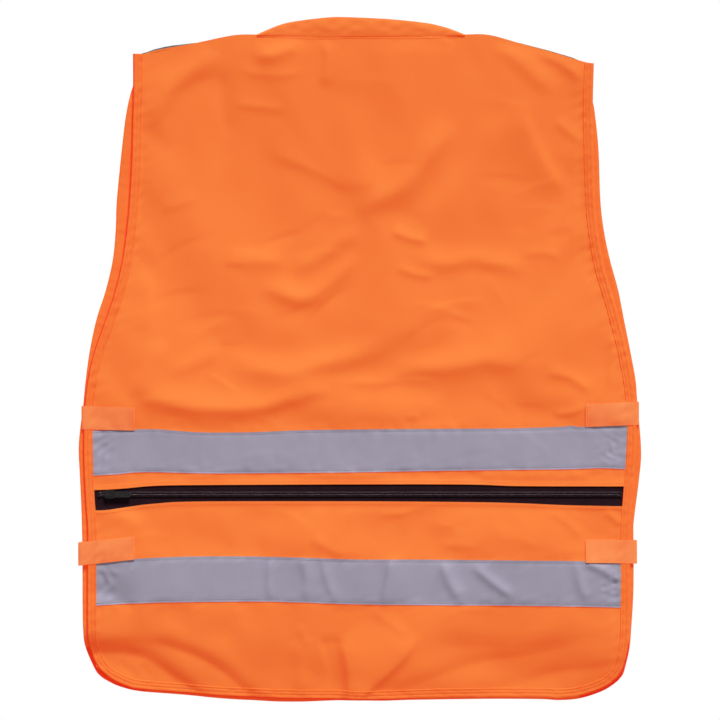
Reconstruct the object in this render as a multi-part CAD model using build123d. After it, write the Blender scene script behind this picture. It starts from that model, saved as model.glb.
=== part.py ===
"""A sleeveless high-visibility work vest, hanging flat from the loop at its back neck.

Frame: +Z is up the body, -Y is the vest's back and +Y its front, and +X is the wearer's right.
The origin is the eye of the hanger loop, level with the collar seam. All sizes are millimetres.

Cloth layers are plain slabs in planes of constant Y. From the outside of the back they run: reflective
tape, back panel, zip tape, pocket bag, the space for the body, front zip tape, front panel, reflective
tape, pockets and flaps.
"""

from build123d import *
import math
import os

# ---- driving dimensions ----------------------------------------------------------------------------

CLOTH = 0.5  # thickness of one layer of cloth, as modelled
HEM_MIDDLE = -775  # the hem's lowest point, on the centre line
HEM_AT_CORNER = -766
HEM_CORNER_RADIUS = 62
ABOVE_SHOULDER = 60  # where the untrimmed outlines close, clear above the shoulders
BELOW_HEM = -900
OUTSIDE = 420  # clear outside the vest's sides

# Half-width of the vest at each height, from the hem corner up to the shoulder tip.
BACK_SIDE = [
    (-700, 317.5), (-631, 318), (-578, 317), (-524, 319.5), (-470, 322.5), (-423, 321), (-376, 313.5),
    (-334, 302), (-305, 293.5), (-262, 282.5), (-211, 274), (-150, 269.5), (-98, 268), (-27, 268),
]
FRONT_SIDE = [
    (-700, 319), (-620, 320.5), (-560, 321.5), (-480, 326.5), (-423, 322.5), (-376, 316), (-334, 308),
    (-305, 300.5), (-262, 289.5), (-211, 281), (-150, 276.5), (-98, 273), (-27, 268),
]
NECK_HALF = 118  # half-width of the neck opening at the shoulder seams
SHOULDER = [(NECK_HALF, 0), (160, -1.5), (212, -12.5), (268, -27), (300, -35)]
COLLAR_TOP = [(NECK_HALF, 0), (100, 8.5), (70, 17.5), (35, 21.3), (0, 22)]
NECKLINE = [(NECK_HALF, 2), (100, -60), (62, -125), (10, -185)]  # the front V, down to the zip
NECK_BAND_EDGE = [(NECK_HALF + 24, 2), (123, -70), (79, -142), (10, -215)]
YOKE_SEAM = -94

BINDING_WIDTH = 10.5
BINDING_WRAP = 0.5  # binding thickness on each face of the cloth
EDGE_IN_BINDING = 0.6  # how far the cloth stops short of the binding's fold

REFLECTIVE_HEIGHT = 50
UPPER_BAND = -482.5  # centre heights of the two reflective bands
LOWER_BAND = -635
UPPER_BAND_HALF = 309.5
LOWER_BAND_HALF = 306
REFLECTIVE_THICKNESS = 0.4
POCKET_LIFT = CLOTH + 0.1  # what passes over the front pockets stands this far off the cloth

# Planes of constant Y: the outer face of each cloth shell.
BACK_OUTER = -3.0
FRONT_OUTER = 13.0
BACK_TAPE_MIDDLE = BACK_OUTER + 1.5 * CLOTH  # middle plane of the back zip's tape
FRONT_TAPE_MIDDLE = FRONT_OUTER - 1.5 * CLOTH
BAG_OUTER = 0.4

# Number 5 coil zips.
BACK_ZIP_HEIGHT = -533
BACK_ZIP_HALF = 305
FRONT_ZIP_TOP = -188
FRONT_ZIP_BOTTOM = -764
ZIP_GAP = 20  # width of zip that shows between the two edges of cloth
TAPE_EDGE = 1.5  # from the chain's centre line to each tape's inner edge
TAPE_WIDTH = 14
COIL_INNER = 0.45
COIL_OUTER = 2.8
COIL_HEIGHT = 1.8
STOP_LENGTH = 3

SLIDER_LENGTH = 12
SLIDER_HALF_WIDTH = 4.9
SLIDER_CHANNEL_HALF = 3.2
SLIDER_CLEARANCE = 0.3
SLIDER_FLOOR = 1.0
SLIDER_ROOF = 1.3
SLIDER_WEB = 0.5  # thickness of the post that joins roof and floor
BRIDGE_HALF_WIDTH = 1.6
BRIDGE_HALF_LENGTH = 4.5
BRIDGE_THICKNESS = 1.0
PULL_THICKNESS = 1.2
PULL_LENGTH = 25
PULL_ARM_INNER = 2.2
PULL_ARM_OUTER = 3.5
PULL_TAB_START = 6
BACK_SLIDER_AT = -291
FRONT_SLIDER_AT = FRONT_ZIP_TOP - 10

# Elastic side straps, sewn to the outside of the back and of the front.
STRAP_WIDTH = 27
UPPER_STRAP = -442.5
LOWER_STRAP = -599.5
STRAP_INNER_END = 262
STRAP_FOLD = 328.5
STRAP_THICKNESS = 1.0

LOOP_HALF = 25  # hanger loop, from its middle to where it is sewn down
LOOP_TAB = 7
LOOP_HEIGHT = 8
LOOP_THICKNESS = 0.8
LOOP_BOW = 5.75  # how far it stands off the collar

# Front pockets: centre, top, width and depth.
LOWER_POCKET = {"centre": 150, "top": -518, "width": 165, "depth": 190}
CHEST_POCKET = {"centre": -170, "top": -225, "width": 96, "depth": 150}
ID_WINDOW = {"centre": 170, "top": -232, "width": 104, "depth": 82}
FLAP_DROP = 48
FLAP_OVERHANG = 3
HOOK_LOOP_HEIGHT = 18
HOOK_LOOP_THICKNESS = 0.7
POCKET_CORNER = 12
FLAP_CORNER = 9
FRAME_WIDTH = 7


# ---- outlines, drawn with X across and Z up --------------------------------------------------------

def mirrored(points):
    return [(-x, z) for x, z in reversed(points)]


def body_outline(side, inset=0):
    """The vest's outline, its sides running straight on up past the shoulders.

    The inset moves the sides and the hem in by the same amount.
    """
    right = [(half - inset, z) for z, half in side]
    left = mirrored(right)
    low, tip = right[0], right[-1]
    corner_height = HEM_AT_CORNER + inset
    face = make_face([
        ThreePointArc(
            (-low[0], corner_height), (0, HEM_MIDDLE + inset), (low[0], corner_height)),
        Line((low[0], corner_height), low),
        Spline(*right, tangents=[(0, 1), (0, 1)]),
        Polyline(tip, (tip[0], ABOVE_SHOULDER), (-tip[0], ABOVE_SHOULDER), (-tip[0], tip[1])),
        Spline(*left, tangents=[(0, -1), (0, -1)]),
        Line(left[-1], (-low[0], corner_height)),
    ])
    corners = [v for v in face.vertices() if abs(v.Y - corner_height) < 0.01]
    return fillet(corners, HEM_CORNER_RADIUS - 1.1 * inset)


def below_shoulders():
    """Everything below the shoulder seams and the back neck seam."""
    left = mirrored(SHOULDER)
    return make_face([
        Spline(*left),
        Line(left[-1], SHOULDER[0]),
        Spline(*SHOULDER),
        Polyline(
            SHOULDER[-1], (OUTSIDE, SHOULDER[-1][1]), (OUTSIDE, BELOW_HEM),
            (-OUTSIDE, BELOW_HEM), (-OUTSIDE, SHOULDER[-1][1]), left[0],
        ),
    ])


def neck_shape(right):
    """The V that a neck edge encloses, closed above the shoulders."""
    left = mirrored(right)
    return make_face([
        Spline(*right),
        Line(right[-1], left[0]),
        Spline(*left),
        Polyline(
            left[-1], (left[-1][0], ABOVE_SHOULDER), (right[0][0], ABOVE_SHOULDER), right[0]),
    ])


def across(low, high, half=OUTSIDE):
    """A rectangle between two heights, centred on X = 0."""
    return Pos(0, (low + high) / 2) * Rectangle(2 * half, high - low)


def patch(centre, top, width, depth, corner=0, top_corners=False):
    """A rectangle hung from its top edge, with rounded lower corners, or all four."""
    face = Pos(centre, top - depth / 2) * Rectangle(width, depth)
    if corner:
        rounded = [v for v in face.vertices() if top_corners or v.Y < top - depth / 2]
        face = fillet(rounded, corner)
    return face


def slab(face, low, high):
    """The outline as a solid between two planes of constant Y."""
    return extrude(Plane.XZ.offset(-high) * face, amount=high - low)


def side_of(face, sign):
    """The part of an outline on one side of the front zip."""
    half = Pos(sign * (OUTSIDE + ZIP_GAP) / 2, (ABOVE_SHOULDER + BELOW_HEM) / 2) * Rectangle(
        OUTSIDE, ABOVE_SHOULDER - BELOW_HEM
    )
    return face & half


BELOW = below_shoulders()
NECK = neck_shape(NECKLINE)


# ---- cloth and trim --------------------------------------------------------------------------------

def binding(side, outer, inner, keep):
    """Tape folded over the bound edge, as a U that holds the cloth between its two legs."""
    ring = (body_outline(side) - body_outline(side, BINDING_WIDTH)) & keep
    held = body_outline(side, EDGE_IN_BINDING) & keep
    return slab(ring, outer, inner) - slab(held, outer + BINDING_WRAP, inner - BINDING_WRAP)


def back_parts():
    cloth = body_outline(BACK_SIDE, EDGE_IN_BINDING) & BELOW
    inner = BACK_OUTER + CLOTH
    zip_edge = ZIP_GAP / 2
    parts = {
        "back_upper_panel": slab(
            cloth & across(BACK_ZIP_HEIGHT + zip_edge, ABOVE_SHOULDER), BACK_OUTER, inner),
        "back_lower_panel": slab(
            cloth & across(BELOW_HEM, BACK_ZIP_HEIGHT - zip_edge), BACK_OUTER, inner),
        "back_edge_binding": binding(
            BACK_SIDE, BACK_OUTER - BINDING_WRAP, inner + BINDING_WRAP, BELOW),
        "back_pocket_bag": slab(
            body_outline(BACK_SIDE, BINDING_WIDTH + 2) & across(BELOW_HEM, BACK_ZIP_HEIGHT + 17),
            BAG_OUTER, BAG_OUTER + CLOTH),
    }
    for name, height, half in (
        ("upper", UPPER_BAND, UPPER_BAND_HALF), ("lower", LOWER_BAND, LOWER_BAND_HALF),
    ):
        strip = across(height - REFLECTIVE_HEIGHT / 2, height + REFLECTIVE_HEIGHT / 2, half)
        parts[f"back_{name}_reflective_tape"] = slab(
            strip, BACK_OUTER - REFLECTIVE_THICKNESS, BACK_OUTER)
    return parts


def front_parts():
    cloth = (body_outline(FRONT_SIDE, EDGE_IN_BINDING) & BELOW) - NECK
    inner = FRONT_OUTER - CLOTH
    band = (neck_shape(NECK_BAND_EDGE) - NECK) & BELOW
    roof = (BELOW - Pos(0, -CLOTH) * BELOW) & across(-60, ABOVE_SHOULDER)
    keep = BELOW - NECK
    parts = {}
    for side, sign in (("left", -1), ("right", 1)):
        own = side_of(cloth, sign)
        roof_width = outline_half(FRONT_SIDE) - BINDING_WIDTH - 1 - NECK_HALF
        roof_side = roof & (
            Pos(sign * (NECK_HALF + roof_width / 2), 0) * Rectangle(roof_width, 2 * ABOVE_SHOULDER)
        )
        parts[f"{side}_front_yoke"] = slab(
            own & across(YOKE_SEAM, ABOVE_SHOULDER), inner, FRONT_OUTER
        ) + slab(roof_side, BACK_OUTER + CLOTH, inner)
        parts[f"{side}_front_panel"] = slab(
            own & across(BELOW_HEM, YOKE_SEAM), inner, FRONT_OUTER)
        parts[f"{side}_neck_band"] = slab(side_of(band, sign), FRONT_OUTER, FRONT_OUTER + CLOTH)
        parts[f"{side}_front_binding"] = binding(
            FRONT_SIDE, inner - BINDING_WRAP, FRONT_OUTER + BINDING_WRAP, side_of(keep, sign))
        for name, height, half, lift in (
            ("upper", UPPER_BAND, UPPER_BAND_HALF, 0),
            ("lower", LOWER_BAND, LOWER_BAND_HALF, POCKET_LIFT),
        ):
            strip = across(height - REFLECTIVE_HEIGHT / 2, height + REFLECTIVE_HEIGHT / 2, half)
            parts[f"{side}_front_{name}_reflective_tape"] = slab(
                side_of(strip, sign), FRONT_OUTER + lift, FRONT_OUTER + lift + REFLECTIVE_THICKNESS)
    return parts


def outline_half(side):
    """Half-width at the shoulder tip."""
    return side[-1][1]


def collar_parts():
    """The stand-up collar behind the neck, in two layers, and the loop sewn inside it."""
    crest = COLLAR_TOP + mirrored(COLLAR_TOP)[1:]
    arch = make_face([Spline(*crest), Line(crest[-1], crest[0])])
    middle = BACK_OUTER + CLOTH / 2
    inside = middle + CLOTH
    bar = inside + LOOP_BOW - LOOP_THICKNESS
    outer = Rectangle(2 * LOOP_HALF, LOOP_HEIGHT)
    tab = Rectangle(LOOP_TAB, LOOP_HEIGHT)
    wall = Rectangle(LOOP_THICKNESS, LOOP_HEIGHT)
    loop = slab(outer, bar, bar + LOOP_THICKNESS)
    for sign in (-1, 1):
        loop += slab(Pos(sign * (LOOP_HALF + LOOP_TAB / 2)) * tab, inside, inside + LOOP_THICKNESS)
        loop += slab(
            Pos(sign * (LOOP_HALF - LOOP_THICKNESS / 2)) * wall, inside, bar + LOOP_THICKNESS)
    return {
        "collar_outer": slab(arch, middle - CLOTH, middle),
        "collar_inner": slab(arch, middle, middle + CLOTH),
        "hanger_loop": loop,
    }


def strap_parts():
    """Four elastic straps, each folded round the side from the back's face to the front's."""
    parts = {}
    back = BACK_OUTER - BINDING_WRAP
    front = FRONT_OUTER + POCKET_LIFT + REFLECTIVE_THICKNESS + 0.1
    leg_length = STRAP_FOLD - STRAP_INNER_END
    for side, sign in (("left", -1), ("right", 1)):
        for name, height in (("upper", UPPER_STRAP), ("lower", LOWER_STRAP)):
            leg = Pos(sign * (STRAP_INNER_END + leg_length / 2), height) * Rectangle(
                leg_length, STRAP_WIDTH)
            fold = Pos(sign * (STRAP_FOLD - STRAP_THICKNESS / 2), height) * Rectangle(
                STRAP_THICKNESS, STRAP_WIDTH)
            parts[f"{side}_{name}_elastic_strap"] = (
                slab(leg, back - STRAP_THICKNESS, back)
                + slab(leg, front, front + STRAP_THICKNESS)
                + slab(fold, back, front)
            )
    return parts


# ---- zips ------------------------------------------------------------------------------------------
# A zip is drawn with its chain along local X, its width along local Y, its outside towards local Z,
# and the middle of its tape at local Z = 0.

def zip_strips(start, end):
    """Tape and coil for the two halves of a chain, each (tape, coil), lower Y half first."""
    length = end - start
    middle = (start + end) / 2
    halves = []
    for sign in (-1, 1):
        tape = Pos(middle, sign * (TAPE_EDGE + TAPE_WIDTH / 2), 0) * Box(length, TAPE_WIDTH, CLOTH)
        coil_width = COIL_OUTER - COIL_INNER
        coil = Pos(
            middle, sign * (COIL_INNER + coil_width / 2), CLOTH / 2 + COIL_HEIGHT / 2
        ) * Box(length - 2 * STOP_LENGTH, coil_width, COIL_HEIGHT)
        halves.append((tape, coil))
    return halves


def zip_stops(at):
    """One small block crimped on each tape's edge, at one end of the chain."""
    blocks = None
    for sign in (-1, 1):
        block = Pos(at, sign * (COIL_INNER + COIL_OUTER) / 2, CLOTH / 2 + COIL_HEIGHT / 2) * Box(
            STOP_LENGTH, COIL_OUTER - COIL_INNER, COIL_HEIGHT)
        blocks = block if blocks is None else blocks + block
    return blocks


SLIDER_BOTTOM = -CLOTH / 2 - SLIDER_CLEARANCE - SLIDER_FLOOR
SLIDER_INSIDE_TOP = CLOTH / 2 + COIL_HEIGHT + 0.4
SLIDER_TOP = SLIDER_INSIDE_TOP + SLIDER_ROOF
PIN_HEIGHT = SLIDER_TOP + SLIDER_CLEARANCE + PULL_THICKNESS / 2
BRIDGE_INSIDE = PIN_HEIGHT + PULL_THICKNESS / 2 + SLIDER_CLEARANCE
BRIDGE_TOP = BRIDGE_INSIDE + BRIDGE_THICKNESS


def box_between(x0, x1, y0, y1, z0, z1):
    return Pos((x0 + x1) / 2, (y0 + y1) / 2, (z0 + z1) / 2) * Box(x1 - x0, y1 - y0, z1 - z0)


def slider_body():
    """Floor, roof, side lips and the thin post between them, with the bridge that holds the pull."""
    half = SLIDER_LENGTH / 2
    width = SLIDER_HALF_WIDTH
    floor_top = SLIDER_BOTTOM + SLIDER_FLOOR
    plan = Rectangle(SLIDER_LENGTH, 2 * width)
    plan = fillet([v for v in plan.vertices() if v.X < 0], 3.5)
    plan = fillet([v for v in plan.vertices() if v.X > half - 0.01], 1.5)
    body = Pos(0, 0, SLIDER_BOTTOM) * extrude(plan, amount=SLIDER_FLOOR)
    body += Pos(0, 0, SLIDER_INSIDE_TOP) * extrude(plan, amount=SLIDER_ROOF)
    lips = Pos(0, 0, CLOTH / 2 + SLIDER_CLEARANCE) * extrude(
        plan, amount=SLIDER_INSIDE_TOP - CLOTH / 2 - SLIDER_CLEARANCE)
    body += lips - Box(4 * half, 2 * SLIDER_CHANNEL_HALF, 4 * SLIDER_TOP)
    body += box_between(
        -half, -half + 3, -SLIDER_WEB / 2, SLIDER_WEB / 2, floor_top - 0.1, SLIDER_INSIDE_TOP + 0.1)
    bridge = box_between(
        -BRIDGE_HALF_LENGTH, BRIDGE_HALF_LENGTH, -BRIDGE_HALF_WIDTH, BRIDGE_HALF_WIDTH,
        SLIDER_TOP - 0.1, BRIDGE_TOP)
    crown = [e for e in bridge.edges().filter_by(Axis.Y) if e.center().Z > BRIDGE_INSIDE]
    bridge = fillet(crown, 0.9)
    bridge -= box_between(
        -BRIDGE_HALF_LENGTH + 1, BRIDGE_HALF_LENGTH - 1, -3, 3, SLIDER_TOP, BRIDGE_INSIDE)
    return body + bridge


def slider_pull():
    """A pull whose round end bar turns under the slider's bridge; it lies along local +X at rest."""
    low = PIN_HEIGHT - PULL_THICKNESS / 2
    pin = Pos(0, 0, PIN_HEIGHT) * Rot(90, 0, 0) * Cylinder(PULL_THICKNESS / 2, 2 * PULL_ARM_OUTER)
    window = Pos(PULL_TAB_START / 2, 0) * Rectangle(PULL_TAB_START, 2 * PULL_ARM_INNER)
    plan = Pos(PULL_LENGTH / 2, 0) * Rectangle(PULL_LENGTH, 2 * PULL_ARM_OUTER)
    tip = [v for v in plan.vertices() if v.X > PULL_LENGTH / 2]
    plan = fillet(tip, 2.2)
    slot = Pos(PULL_LENGTH - 5, 0) * SlotOverall(5, 2.2)
    return pin + Pos(0, 0, low) * extrude(plan - window - slot, amount=PULL_THICKNESS)


def back_zip_parts():
    place = Plane(origin=(0, BACK_TAPE_MIDDLE, BACK_ZIP_HEIGHT), x_dir=(1, 0, 0), z_dir=(0, -1, 0))
    halves = zip_strips(-BACK_ZIP_HALF, BACK_ZIP_HALF)
    slider_at = Pos(BACK_SLIDER_AT, 0, 0)
    end = BACK_ZIP_HALF - STOP_LENGTH / 2
    return {
        "back_zip_lower_tape": place * halves[0][0],
        "back_zip_lower_coil": place * halves[0][1],
        "back_zip_upper_tape": place * halves[1][0],
        "back_zip_upper_coil": place * halves[1][1],
        "back_zip_closed_end_stops": place * zip_stops(-end),
        "back_zip_open_end_stops": place * zip_stops(end),
        "back_zip_slider": place * (slider_at * slider_body()),
        "back_zip_pull": place * (slider_at * slider_pull()),
    }


def front_zip_parts():
    """The chain runs down the front; local X points down, so the closed end is at the top."""
    place = Plane(origin=(0, FRONT_TAPE_MIDDLE, 0), x_dir=(0, 0, -1), z_dir=(0, 1, 0))
    start, end = -FRONT_ZIP_TOP, -FRONT_ZIP_BOTTOM
    halves = zip_strips(start, end - 8)
    slider_at = Pos(-FRONT_SLIDER_AT, 0, 0)
    z_low, z_high = -CLOTH / 2 - 0.8, CLOTH / 2 + COIL_HEIGHT
    box_side = box_between(end - 11, end, 0.2, 4.2, z_low, z_high)
    pin_side = box_between(end - 11, end, -2.4, -0.2, z_low + 0.4, z_high)
    chain_end = end - 11
    trim = box_between(chain_end, end + 20, -40, 40, -20, 20)
    return {
        "front_zip_right_tape": place * (halves[0][0] - trim),
        "front_zip_right_coil": place * (halves[0][1] - trim),
        "front_zip_left_tape": place * (halves[1][0] - trim),
        "front_zip_left_coil": place * (halves[1][1] - trim),
        "front_zip_top_stops": place * zip_stops(start + STOP_LENGTH / 2),
        "front_zip_retainer_box": place * box_side,
        "front_zip_insertion_pin": place * pin_side,
        "front_zip_slider": place * (slider_at * slider_body()),
        "front_zip_pull": place * (slider_at * slider_pull()),
    }


# ---- pockets ---------------------------------------------------------------------------------------

def flapped_pocket(name, centre, top, width, depth):
    """A patch pocket with a flap that is held down by hook and loop tape."""
    pocket_face = FRONT_OUTER + CLOTH
    loop_face = pocket_face + HOOK_LOOP_THICKNESS
    hook_start = loop_face + SLIDER_CLEARANCE
    flap_start = hook_start + HOOK_LOOP_THICKNESS
    tape_top = top - FLAP_DROP + HOOK_LOOP_HEIGHT + 6
    tape_width = width - 44
    flap_top = top + 4
    return {
        f"{name}_pocket": slab(
            patch(centre, top, width, depth, POCKET_CORNER), FRONT_OUTER, pocket_face),
        f"{name}_loop_tape": slab(
            patch(centre, tape_top, tape_width, HOOK_LOOP_HEIGHT), pocket_face, loop_face),
        f"{name}_hook_tape": slab(
            patch(centre, tape_top, tape_width, HOOK_LOOP_HEIGHT), hook_start, flap_start),
        f"{name}_flap": slab(
            patch(centre, flap_top, width + 2 * FLAP_OVERHANG, FLAP_DROP + 4, FLAP_CORNER),
            flap_start, flap_start + CLOTH),
    }


def id_window_parts():
    """A clear sleeve for an identity card, in a bound frame."""
    outer = patch(**ID_WINDOW, corner=6, top_corners=True)
    inner = offset(outer, amount=-FRAME_WIDTH)
    return {
        "id_window_frame": slab(outer - inner, FRONT_OUTER, FRONT_OUTER + 3 * CLOTH),
        "id_window_sheet": slab(inner, FRONT_OUTER + CLOTH, FRONT_OUTER + CLOTH + 0.3),
    }


def pocket_parts():
    right = dict(LOWER_POCKET)
    left = dict(LOWER_POCKET, centre=-LOWER_POCKET["centre"])
    return {
        **flapped_pocket("left_lower", **left),
        **flapped_pocket("right_lower", **right),
        **flapped_pocket("chest", **CHEST_POCKET),
        **id_window_parts(),
    }


# ---- the whole vest --------------------------------------------------------------------------------

def main():
    os.makedirs("parts", exist_ok=True)
    parts = {
        **back_parts(),
        **front_parts(),
        **collar_parts(),
        **strap_parts(),
        **back_zip_parts(),
        **front_zip_parts(),
        **pocket_parts(),
    }
    for name, shape in parts.items():
        solids = shape.solids()
        export_step(solids[0] if len(solids) == 1 else Compound(children=list(solids)), f"parts/{name}.step")
    print(len(parts), "nodes written")


main()
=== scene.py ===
"""Looks for a high-visibility work vest that hangs flat from its neck loop, seen from behind.

The cloth is built in millimetres over X and Z, one sheet per panel. Shared fields of folds push every
layer of a side together, so what is sewn together stays together.
"""

import math

import bmesh
import bpy
import mathutils
import numpy as np
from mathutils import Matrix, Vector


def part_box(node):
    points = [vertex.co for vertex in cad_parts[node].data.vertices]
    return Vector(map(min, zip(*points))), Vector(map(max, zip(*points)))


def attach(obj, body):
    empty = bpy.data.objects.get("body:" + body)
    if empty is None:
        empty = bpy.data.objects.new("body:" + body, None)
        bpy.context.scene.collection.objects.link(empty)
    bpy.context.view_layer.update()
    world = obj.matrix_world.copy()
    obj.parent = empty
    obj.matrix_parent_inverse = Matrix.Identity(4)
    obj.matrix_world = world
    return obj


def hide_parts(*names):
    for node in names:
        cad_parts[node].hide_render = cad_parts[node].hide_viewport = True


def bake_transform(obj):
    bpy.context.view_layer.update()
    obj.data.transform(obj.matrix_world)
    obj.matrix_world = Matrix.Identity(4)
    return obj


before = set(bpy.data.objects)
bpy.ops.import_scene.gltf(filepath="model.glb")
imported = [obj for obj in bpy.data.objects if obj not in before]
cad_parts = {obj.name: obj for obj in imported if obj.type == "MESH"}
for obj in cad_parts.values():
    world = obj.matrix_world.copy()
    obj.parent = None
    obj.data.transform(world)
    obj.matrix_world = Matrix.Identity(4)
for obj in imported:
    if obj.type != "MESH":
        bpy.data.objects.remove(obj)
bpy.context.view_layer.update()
MM = 0.001


def box_mm(node_name):
    """The low and high corners of a CAD node's box, in millimetres."""
    return [np.array(corner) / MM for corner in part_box(node_name)]


def middle(node_name, axis=1):
    """The middle of a CAD node's box along an axis, in millimetres."""
    return sum(corner[axis] for corner in box_mm(node_name)) / 2


BODY = "vest"
BACK, FRONT = middle("back_upper_panel"), middle("left_front_panel")
ZIP_Z = middle("back_zip_slider", 2)
BANDS = [[corner[2] for corner in box_mm(f"back_{level}_reflective_tape")] for level in ("upper", "lower")]
BAND_EDGES = BANDS[0] + BANDS[1]
CLOTH = 0.5  # thickness of a sheet of cloth
INSET = 1.2  # how far a panel's cut edge lies inside the outer edge of its binding
HEM_GAP = 2.6  # how far the front lies behind the back where their edges meet
SPACING = 2.4  # of a large panel's mesh

# ---- outlines, in millimetres over X and Z ---------------------------------------------------------

BACK_LEFT = [(-264, -21), (-264, -60), (-265, -98), (-266.4, -150), (-270.5, -210), (-277.5, -263),
             (-288, -305), (-298, -334), (-312, -376), (-320, -423), (-322, -480), (-320, -535),
             (-317, -578), (-317.5, -631), (-317.5, -690), (-316.6, -710), (-309.8, -730.5)]
BACK_RIGHT = [(272, -32), (271, -71), (271, -98), (272.4, -150), (275, -210), (283, -263), (295, -305),
              (303, -334), (313, -376), (320, -423), (321.5, -480), (317, -535), (314.2, -578),
              (314, -631), (313.8, -690), (311.8, -715), (306.2, -737.5)]
BACK_HEM = [(-309.8, -730.5), (-300, -743.4), (-288, -752), (-271, -759.6), (-256, -762.8), (-209, -766.6),
            (-163, -769.6), (-116, -772.1), (-70, -773.2), (-23, -773.6), (23, -773.6), (70, -772.2),
            (116, -771.7), (209, -772), (233, -772.8), (257, -770), (280.4, -761.8), (295, -752.4),
            (306.2, -737.5)]
FRONT_LEFT = [(-262, -21), (-262, -46), (-266, -60), (-270, -78), (-273.5, -98), (-276.3, -121),
              (-278.8, -144), (-283.4, -191), (-284.8, -226), (-288, -260), (-296, -295), (-307, -330),
              (-314.5, -365), (-319.4, -400), (-322.4, -430), (-327.4, -475), (-326, -515), (-324, -560),
              (-323, -600), (-323, -660), (-322.5, -690), (-320.5, -714), (-311, -737.5)]
FRONT_RIGHT = [(269, -33), (268, -58), (270, -72), (272.4, -82), (274.6, -98), (277, -121), (278.4, -144),
               (280, -191), (284, -226), (291, -260), (300.5, -295), (307.4, -330), (314.4, -365),
               (320.8, -400), (322.6, -423), (327.2, -481), (324.8, -516), (318.8, -563), (318.2, -580),
               (318.2, -644), (315.8, -690), (313.9, -714), (309.0, -740)]
FRONT_HEM = [(-311, -737.5), (-304.6, -746.5), (-294, -753.5), (-281, -759.4), (-257.5, -765),
             (-209, -769), (-163, -772.6), (-116, -775.8), (-70, -776.8), (-30, -776), (30, -776),
             (70, -774), (140, -773.7), (209, -774), (233.5, -775.2), (257.5, -773), (281, -765.3),
             (295, -757.5), (304.6, -748.8), (309.5, -740)]
SHOULDER_LEFT = [(-264, -21), (-253, -21), (-232, -15.5), (-192, -8.5), (-148, 0.5), (-120, 1.5)]
SHOULDER_RIGHT = [(122, 1.5), (150, 1), (187, -9), (223, -19), (260, -30), (272, -32)]
COLLAR_SEAM = [(-120, 1.5), (-90, 1), (-50, -0.5), (0, 0.5), (50, 0), (90, 0.5), (122, 1.5)]
COLLAR_TOP = [(-120, 1.5), (-104, 8.5), (-85, 15), (-58, 19), (-29, 21.7), (0, 21), (32, 19.4), (55, 17.4),
              (80, 14.4), (101, 9.3), (122, 1.5)]
NECKLINE = [(118, 1), (100, -60), (62, -125), (10, -185)]
YOKE_Z = -94
ZIP_LIP_TOP = [(-318, -528.5), (-296, -527.8), (-273, -526.3), (-240, -523.4), (-186, -522.4), (0, -521.6),
               (128, -521.8), (186, -523.6), (318, -524)]
ZIP_LIP_LOW = [(-318, -552), (-296, -551.5), (-273, -548.3), (-240, -544.2), (-186, -541.6), (0, -541.4),
               (128, -542.3), (186, -543.6), (244, -546), (318, -547.3)]
# Top and bottom edges of the back's bands, which waver where the cloth is drawn in.
BACK_BANDS = {
    "upper": ([(-311, -459), (-262, -457.7), (-233, -457.7), (-188, -461), (-128, -461), (-70, -458.8),
               (0, -457.7), (128, -456.8), (186, -456.3), (236, -454.4), (245, -453.2), (257, -454.6),
               (311, -453)],
              [(-310, -511.3), (-283, -510), (-262, -507.8), (-233, -507.6), (-186, -508.8), (-128, -508.8),
               (0, -507.5), (128, -505.4), (244, -504), (279, -502.8), (308.5, -504)]),
    "lower": ([(-307, -612.8), (-296, -612), (-274, -609), (-233, -606.5), (-186, -605.3), (-128, -605.3),
               (-70, -606.5), (0, -608.8), (70, -608.9), (186, -610), (279, -611.2), (303.6, -614)],
              [(-307, -662.6), (-285, -661.4), (-233, -659), (-128, -657.8), (-70, -658.8), (0, -661.2),
               (128, -662.3), (244, -663.5), (303.6, -665)]),
}


def travelled(path):
    """How far along a path each of its points lies."""
    return np.concatenate([[0], np.cumsum(np.linalg.norm(np.diff(path, axis=0), axis=1))])


def unit(rows):
    """Vectors, one to a row, brought to length 1."""
    return rows / np.linalg.norm(rows, axis=1)[:, None]


def smooth_path(points, count):
    """Points evenly spaced along a smooth curve through the given ones."""
    p = np.array(points, float)
    ends = np.vstack([2 * p[0] - p[1], p, 2 * p[-1] - p[-2]])
    t = np.linspace(0, 1, 24, endpoint=False)[:, None]
    runs = [
        0.5 * (2 * b + (c - a) * t + (2 * a - 5 * b + 4 * c - d) * t**2 + (3 * b - 3 * c + d - a) * t**3)
        for a, b, c, d in zip(ends[:-3], ends[1:-2], ends[2:-1], ends[3:])
    ]
    dense = np.vstack(runs + [p[-1:]])
    s = travelled(dense)
    at = np.linspace(0, s[-1], count)
    return np.column_stack([np.interp(at, s, dense[:, k]) for k in range(p.shape[1])])


def between(points, low, high):
    """The part of a top-to-bottom side between two heights, ending exactly on them."""
    dense = smooth_path(points, 400)
    order = dense[np.argsort(dense[:, 1])]
    at = np.linspace(low, high, 60)
    return np.column_stack([np.interp(at, order[:, 1], order[:, 0]), at])


def left_of(path):
    """The unit vector that points to the left of a path at each of its points."""
    run = unit(np.gradient(path, axis=0))
    return np.column_stack([-run[:, 1], run[:, 0]])


# ---- folds -----------------------------------------------------------------------------------------
# Each fold is a path over X and Z, how wide it is on its left and right sides, and its depth towards
# the inside of the vest; a negative depth is a ridge that stands out.

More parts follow.
